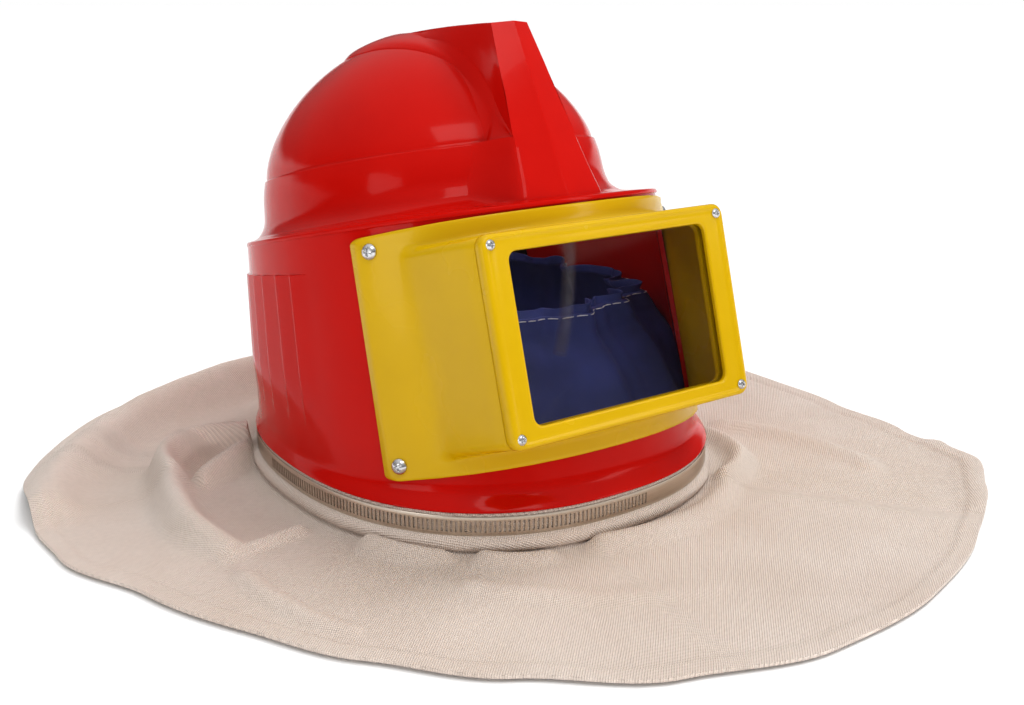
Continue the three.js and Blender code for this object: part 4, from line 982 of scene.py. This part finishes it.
def fold_height(places):
    """Folds: each lifts the cloth in a bell across a curved crest; the highest one counts."""
    total = np.zeros(places.shape[:-1])
    for a0, s0, a1, s1, a2, s2, high, half, loss in FOLDS:
        t = np.linspace(0, 1, 13)
        bend = np.array([[(1 - k) ** 2, 2 * k * (1 - k), k * k] for k in t])
        crest_line = cape_place(np.radians(bend @ [a0, a1, a2]), bend @ [s0, s1, s2])
        for k, (p, q) in enumerate(zip(crest_line[:-1], crest_line[1:])):
            along = q - p
            share = np.clip(((places - p) @ along) / (along @ along), 0, 1)
            away = np.linalg.norm(places - p - share[..., None] * along, axis=-1)
            top = high * FOLD_HEIGHT * (1 - loss * ((k + share) / 12) ** 2)
            total = np.maximum(total, top * np.exp(-((away / (0.8 * half * FOLD_HEIGHT)) ** 2)))
    return total


cape_angles = np.radians(np.linspace(-180, 180, CAPE_COLUMNS, endpoint=False))
neck_flat = rings(NECK, cape_angles)[0]
directions = np.arctan2(neck_flat[:, 1], neck_flat[:, 0])
HEM_SHARES = [0.92, 0.935, 0.945, 0.952, 0.96, 0.97, 0.98, 0.99, 0.996, 1.0]
shares = np.concatenate([np.linspace(0.02, 0.2, 16), np.linspace(0.215, 0.9, 42), HEM_SHARES])
spots = cape_place(directions[None, :], shares[:, None])
heights = np.maximum(fold_height(spots) - 0.6, 0)
rng = np.random.default_rng(7)
wrinkle = np.zeros(heights.shape)
for _ in range(WRINKLE_COUNT):
    way = rng.uniform(0, 2 * np.pi)
    length = rng.uniform(55, 190)
    push = rng.uniform(0, 2 * np.pi)
    along = spots[..., 0] * np.cos(way) + spots[..., 1] * np.sin(way)
    wrinkle += np.sin(along * 2 * np.pi / length + push) * length / 190
wrinkle = np.maximum(wrinkle / 9.0, -0.1) * WRINKLE_HEIGHT
heights = heights + np.clip(wrinkle, 0, 3) * np.clip((1.0 - shares[:, None]) * 6, 0.15, 1)
hem_away = (1 - shares[:, None]) * (outline_reach(directions) - roll_reach(directions))[None, :]
heights = heights + 0.9 * (hem_away < HEM_STITCH - 1.5) - 0.5 * np.exp(-((hem_away - HEM_STITCH) / 1.2) ** 2)
skirt = np.concatenate([spots, heights[..., None] + CANVAS / 2 + CAPE_LIFT], -1)
roll_wave = np.ones(len(cape_angles))
for waves, swing, start in ((3, 0.10, 0.7), (7, 0.06, 2.0), (17, 0.04, 0.0)):
    roll_wave += swing * np.sin(waves * cape_angles + start)
stand_out = 0.3 + CANVAS / 2
roll_profile = [
    # out from the strip, height above the table
    (0.0, 28.2), (0.0, 27.0), (0.05, 24.0), (0.0, 20.0), (0.0, 17.0), (0.2, 15.0), (1.2, 13.3), (2.9, 12.6),
    (4.3, 11.4), (5.0, 9.6), (4.9, 7.7), (3.9, 6.0), (2.5, 5.2), (1.9, 4.4), (2.2, 3.5), (3.4, 2.6),
]
roll_rows = []
for out, height in roll_profile:
    swell = np.where(height < 14, roll_wave, 1.0)
    ring_flat = rings(NECK, cape_angles, stand_out)[0][:, :2]
    grown = rings(NECK, cape_angles, stand_out + 1.0)[0][:, :2] - ring_flat
    flat = ring_flat + grown * (out * swell)[:, None]
    roll_rows.append(np.concatenate([flat, np.full((len(cape_angles), 1), height)], -1))
cape_rows = np.concatenate([np.stack(roll_rows), skirt])
cape_rows[..., 2] -= RIM_HEIGHT
travel = np.concatenate([
    np.zeros((1, len(cape_angles))), np.cumsum(np.linalg.norm(np.diff(cape_rows, axis=0), axis=-1), axis=0),
])
weave_reach = 150.0 + travel
weave_uv = np.stack([weave_reach * np.cos(directions), weave_reach * np.sin(directions)], -1) * MM
canvas, tree, shader = finish_material(
    "cream_canvas", (0.80, 0.69, 0.58), 0.92, Sheen_Weight=0.25, Sheen_Roughness=0.5,
)
WEAVE_PITCH = 1.9
uv = add_node(tree, "ShaderNodeUVMap", uv_map="weave")
scale = add_node(tree, "ShaderNodeMapping")
scale.inputs["Scale"].default_value = (1 / (WEAVE_PITCH * MM),) * 3
tree.links.new(uv.outputs["UV"], scale.inputs["Vector"])
split = add_node(tree, "ShaderNodeSeparateXYZ")
tree.links.new(scale.outputs["Vector"], split.inputs["Vector"])


def math_node(operation, first, second=None, **values):
    """One Math node of the canvas, its inputs either links or numbers."""
    node = add_node(tree, "ShaderNodeMath", operation=operation, **values)
    for socket, value in zip(node.inputs, (first, second)):
        if hasattr(value, "links"):
            tree.links.new(value, socket)
        elif value is not None:
            socket.default_value = value
    return node.outputs[0]


warp = math_node("SINE", math_node("MULTIPLY", split.outputs["X"], 2 * math.pi))
weft = math_node("SINE", math_node("MULTIPLY", split.outputs["Y"], 2 * math.pi))
cross = math_node("MULTIPLY", warp, weft)
slub = add_node(tree, "ShaderNodeTexNoise", in_Scale=260.0, in_Detail=3.0)
tree.links.new(uv.outputs["UV"], slub.inputs["Vector"])
weave = math_node("ADD", cross, slub.outputs["Fac"])
weave_bump = add_node(tree, "ShaderNodeBump", in_Strength=0.8, in_Distance=0.0007)
tree.links.new(weave, weave_bump.inputs["Height"])
soft_noise = add_node(tree, "ShaderNodeTexNoise", in_Scale=9.0, in_Detail=5.0, in_Roughness=0.6)
tree.links.new(uv.outputs["UV"], soft_noise.inputs["Vector"])
cloud = add_node(tree, "ShaderNodeValToRGB")
cloud.color_ramp.elements[0].position = 0.3
cloud.color_ramp.elements[1].position = 0.75
cloud.color_ramp.elements[0].color = (0.84, 0.70, 0.605, 1.0)
cloud.color_ramp.elements[1].color = (0.94, 0.82, 0.735, 1.0)
tree.links.new(soft_noise.outputs["Fac"], cloud.inputs["Fac"])
# The weave's height also sets the colour: painted shade darkens the hollows between the threads and painted
# light brightens their crowns, while the slub noise in it adds real yarn tone.
weave_painted_shade_and_slub_tone = add_node(
    tree, "ShaderNodeMapRange", in_From_Min=-1.0, in_From_Max=1.6, in_To_Min=0.78, in_To_Max=1.08,
)
tree.links.new(weave, weave_painted_shade_and_slub_tone.inputs["Value"])
shaded = add_node(tree, "ShaderNodeVectorMath", operation="SCALE")
tree.links.new(cloud.outputs["Color"], shaded.inputs[0])
tree.links.new(weave_painted_shade_and_slub_tone.outputs["Result"], shaded.inputs["Scale"])
tree.links.new(shaded.outputs["Vector"], shader.inputs["Base Color"])
tree.links.new(weave_bump.outputs["Normal"], shader.inputs["Normal"])
cape_faces = grid_faces(len(cape_rows), len(cape_angles))[:, ::-1]
cape = add_mesh("canvas_cape", cape_rows.reshape(-1, 3) + rim_middle, cape_faces, canvas, 80)
uv_layer = cape.data.uv_layers.new(name="weave")
loop_points = np.empty(len(cape.data.loops), int)
cape.data.loops.foreach_get("vertex_index", loop_points)
uv_layer.data.foreach_set("uv", weave_uv.reshape(-1, 2)[loop_points].ravel())
thick = cape.modifiers.new("cloth_thickness", "SOLIDIFY")
thick.thickness = CANVAS * MM
thick.offset = 0.0
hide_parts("cape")
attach(cape, "root")

# The neck collar: thin navy cloth sewn inside the neck and drawn in by elastic, with a frill
# above a row of white stitches.
COLLAR_HEIGHT, COLLAR_SHIFT = 76.0, 20.0
COLLAR_ROWS = np.array([
    # rise, side, front, back, depth of the gathers
    [0.0, 0.955, 0.955, 0.955, 0.0], [0.22, 0.95, 0.9, 0.95, 0.25], [0.45, 0.9, 0.78, 0.93, 0.5],
    [0.66, 0.87, 0.655, 0.9, 0.75], [0.84, 0.8, 0.53, 0.84, 0.95], [0.97, 0.73, 0.5, 0.76, 1.05],
    [1.04, 0.68, 0.49, 0.69, 1.1], [1.05, 0.64, 0.465, 0.64, 1.25], [1.12, 0.62, 0.455, 0.62, 1.7],
])
COLLAR_LEVELS, COLLAR_COLUMNS, COLLAR_CLOTH = 60, 360, 1.2
collar_angles = np.radians(np.linspace(-180, 180, COLLAR_COLUMNS, endpoint=False))
collar_fine = smooth_rows(COLLAR_ROWS, COLLAR_LEVELS)
rise, side_share, front_share, back_share, gather = collar_fine.T[:, :, None]
rng = np.random.default_rng(3)
pleats = sum(
    np.cos(n * collar_angles + rng.uniform(0, 6.28)) * w
    for n, w in ((9, 0.8), (13, 0.7), (17, 0.5), (23, 0.35), (31, 0.25), (41, 0.2))
)[None, :]
pleat = 1 + 0.05 * gather * pleats
c, s = np.cos(collar_angles)[None], np.sin(collar_angles)[None]
power = 2 / 2.3
reach = np.where(s < 0, front_share, back_share) * 160.3 * pleat
collar_x = 144.8 * side_share * pleat * np.sign(c) * np.abs(c) ** power + COLLAR_SHIFT * rise
collar_y = reach * np.sign(s) * np.abs(s) ** power
collar_z = 11.0 + rise * COLLAR_HEIGHT + 1.6 * np.clip(gather - 0.9, 0, 1) * np.roll(pleats, 3, 1)
collar_grid = np.stack([collar_x, collar_y, np.broadcast_to(collar_z, collar_x.shape)], -1)
navy, tree, shader = finish_material(
    "navy_cloth", (0.018, 0.024, 0.09), 0.7, Sheen_Weight=0.5, Sheen_Roughness=0.35,
)
shader.inputs["Sheen Tint"].default_value = (0.35, 0.42, 0.9, 1.0)
mottle, fine_weave = noise_bumps(tree, shader, (35, 4, 0.35, 2.0), (1600, 2, 0.25, 0.2))
vary(tree, shader, mottle, (0.03, 0.04, 0.12), (0.075, 0.095, 0.34), 0.66, 0.74)
collar = add_mesh(
    "gathered_neck_collar", collar_grid.reshape(-1, 3) + rim_middle,
    grid_faces(COLLAR_LEVELS, COLLAR_COLUMNS), navy, 80,
)
thick = collar.modifiers.new("cloth_thickness", "SOLIDIFY")
thick.thickness = COLLAR_CLOTH * MM
thick.offset = 0.0
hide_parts("neck_collar")
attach(collar, "root")

# The white stitches that hold the elastic: short thread dashes round the collar's neck.
STITCH_ROW, DASH_STEP = 43, 4
stitch_line = collar_grid[STITCH_ROW]
dash_starts = np.arange(0, COLLAR_COLUMNS, DASH_STEP)
thread, tree, shader = finish_material("white_thread", (0.75, 0.75, 0.78), 0.7)
noise_bumps(tree, shader, (2500, 2, 0.4, 0.2))
mouth_middle = np.array([18.0, 10.0])
outward_line = np.append(stitch_line[:, :2] - mouth_middle, np.zeros((COLLAR_COLUMNS, 1)), axis=1)
outward_line /= np.linalg.norm(outward_line, axis=1, keepdims=True)
outward_line = (outward_line + [0.0, 0.0, 1.0]) / math.sqrt(2)
lifted = stitch_line + outward_line * 0.95
dash_middles = (dash_starts + 1) % COLLAR_COLUMNS
dash_ends = (dash_starts + 3) % COLLAR_COLUMNS
start_at, end_at = lifted[dash_starts], lifted[dash_ends]
middle_at = lifted[dash_middles] + outward_line[dash_middles] * 0.25
stitch_points, stitch_faces = [], []
for k, path in enumerate(np.stack([start_at, middle_at, end_at], 1)):
    ringed = tube_points(path, np.array([0.3, 0.45, 0.3]), 6)
    first, last = 18 * k, 18 * k + 12
    stitch_points.append(ringed.reshape(-1, 3))
    stitch_faces += [list(face) for face in grid_faces(3, 6)[:, ::-1] + first]
    stitch_faces += [[first + i for i in range(6)], [last + i for i in range(5, -1, -1)]]
stitches = add_mesh("collar_stitches", np.concatenate(stitch_points) + rim_middle, stitch_faces, thread, 60)
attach(stitches, "root")

# The strap on the inner back wall and the socket that holds the tube: plain dark pieces.
black, tree, shader = finish_material("black_webbing", (0.010, 0.010, 0.012), 0.75)
place = add_node(tree, "ShaderNodeTexCoord")
rib = add_node(tree, "ShaderNodeTexWave", bands_direction="Z", in_Scale=160.0, in_Distortion=0.4)
rib_bump = add_node(tree, "ShaderNodeBump", in_Strength=0.4, in_Distance=0.0004)
tree.links.new(place.outputs["Object"], rib.inputs["Vector"])
tree.links.new(rib.outputs["Fac"], rib_bump.inputs["Height"])
tree.links.new(rib_bump.outputs["Normal"], shader.inputs["Normal"])
STRAP_WIDTH, STRAP_TURN, STRAP_COLUMNS, STRAP_LEVELS = 28.0, 36, 13, 30
strap_half = STRAP_WIDTH / (2 * 151.5)
strap_angles = math.radians(STRAP_TURN) + np.linspace(-1, 1, STRAP_COLUMNS) * strap_half
strap_shares = np.linspace(0.12, 0.9, STRAP_LEVELS)
front_side = np.stack([body_wall(strap_angles, [share], -SHELL_WALL - 2.5)[0] for share in strap_shares])
back_side = np.stack([body_wall(strap_angles, [share], -SHELL_WALL - 0.9)[0] for share in strap_shares])
strap_rows = np.concatenate([front_side, back_side[:, ::-1]], 1)
strap_loop = 2 * STRAP_COLUMNS
strap_faces = [list(face) for face in grid_faces(STRAP_LEVELS, strap_loop)]
strap_faces.append(list(range(strap_loop - 1, -1, -1)))
strap_faces.append([(STRAP_LEVELS - 1) * strap_loop + i for i in range(strap_loop)])
strap = add_mesh("inner_strap", strap_rows.reshape(-1, 3) + rim_middle, strap_faces, black, 50)
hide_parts("head_strap")
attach(strap, "root")
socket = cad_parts["tube_socket"]
socket_black, tree, shader = finish_material("black_moulding", (0.012, 0.012, 0.014), 0.45)
noise_bumps(tree, shader, (1200, 2, 0.15, 0.2))
socket.data.materials.clear()
socket.data.materials.append(socket_black)
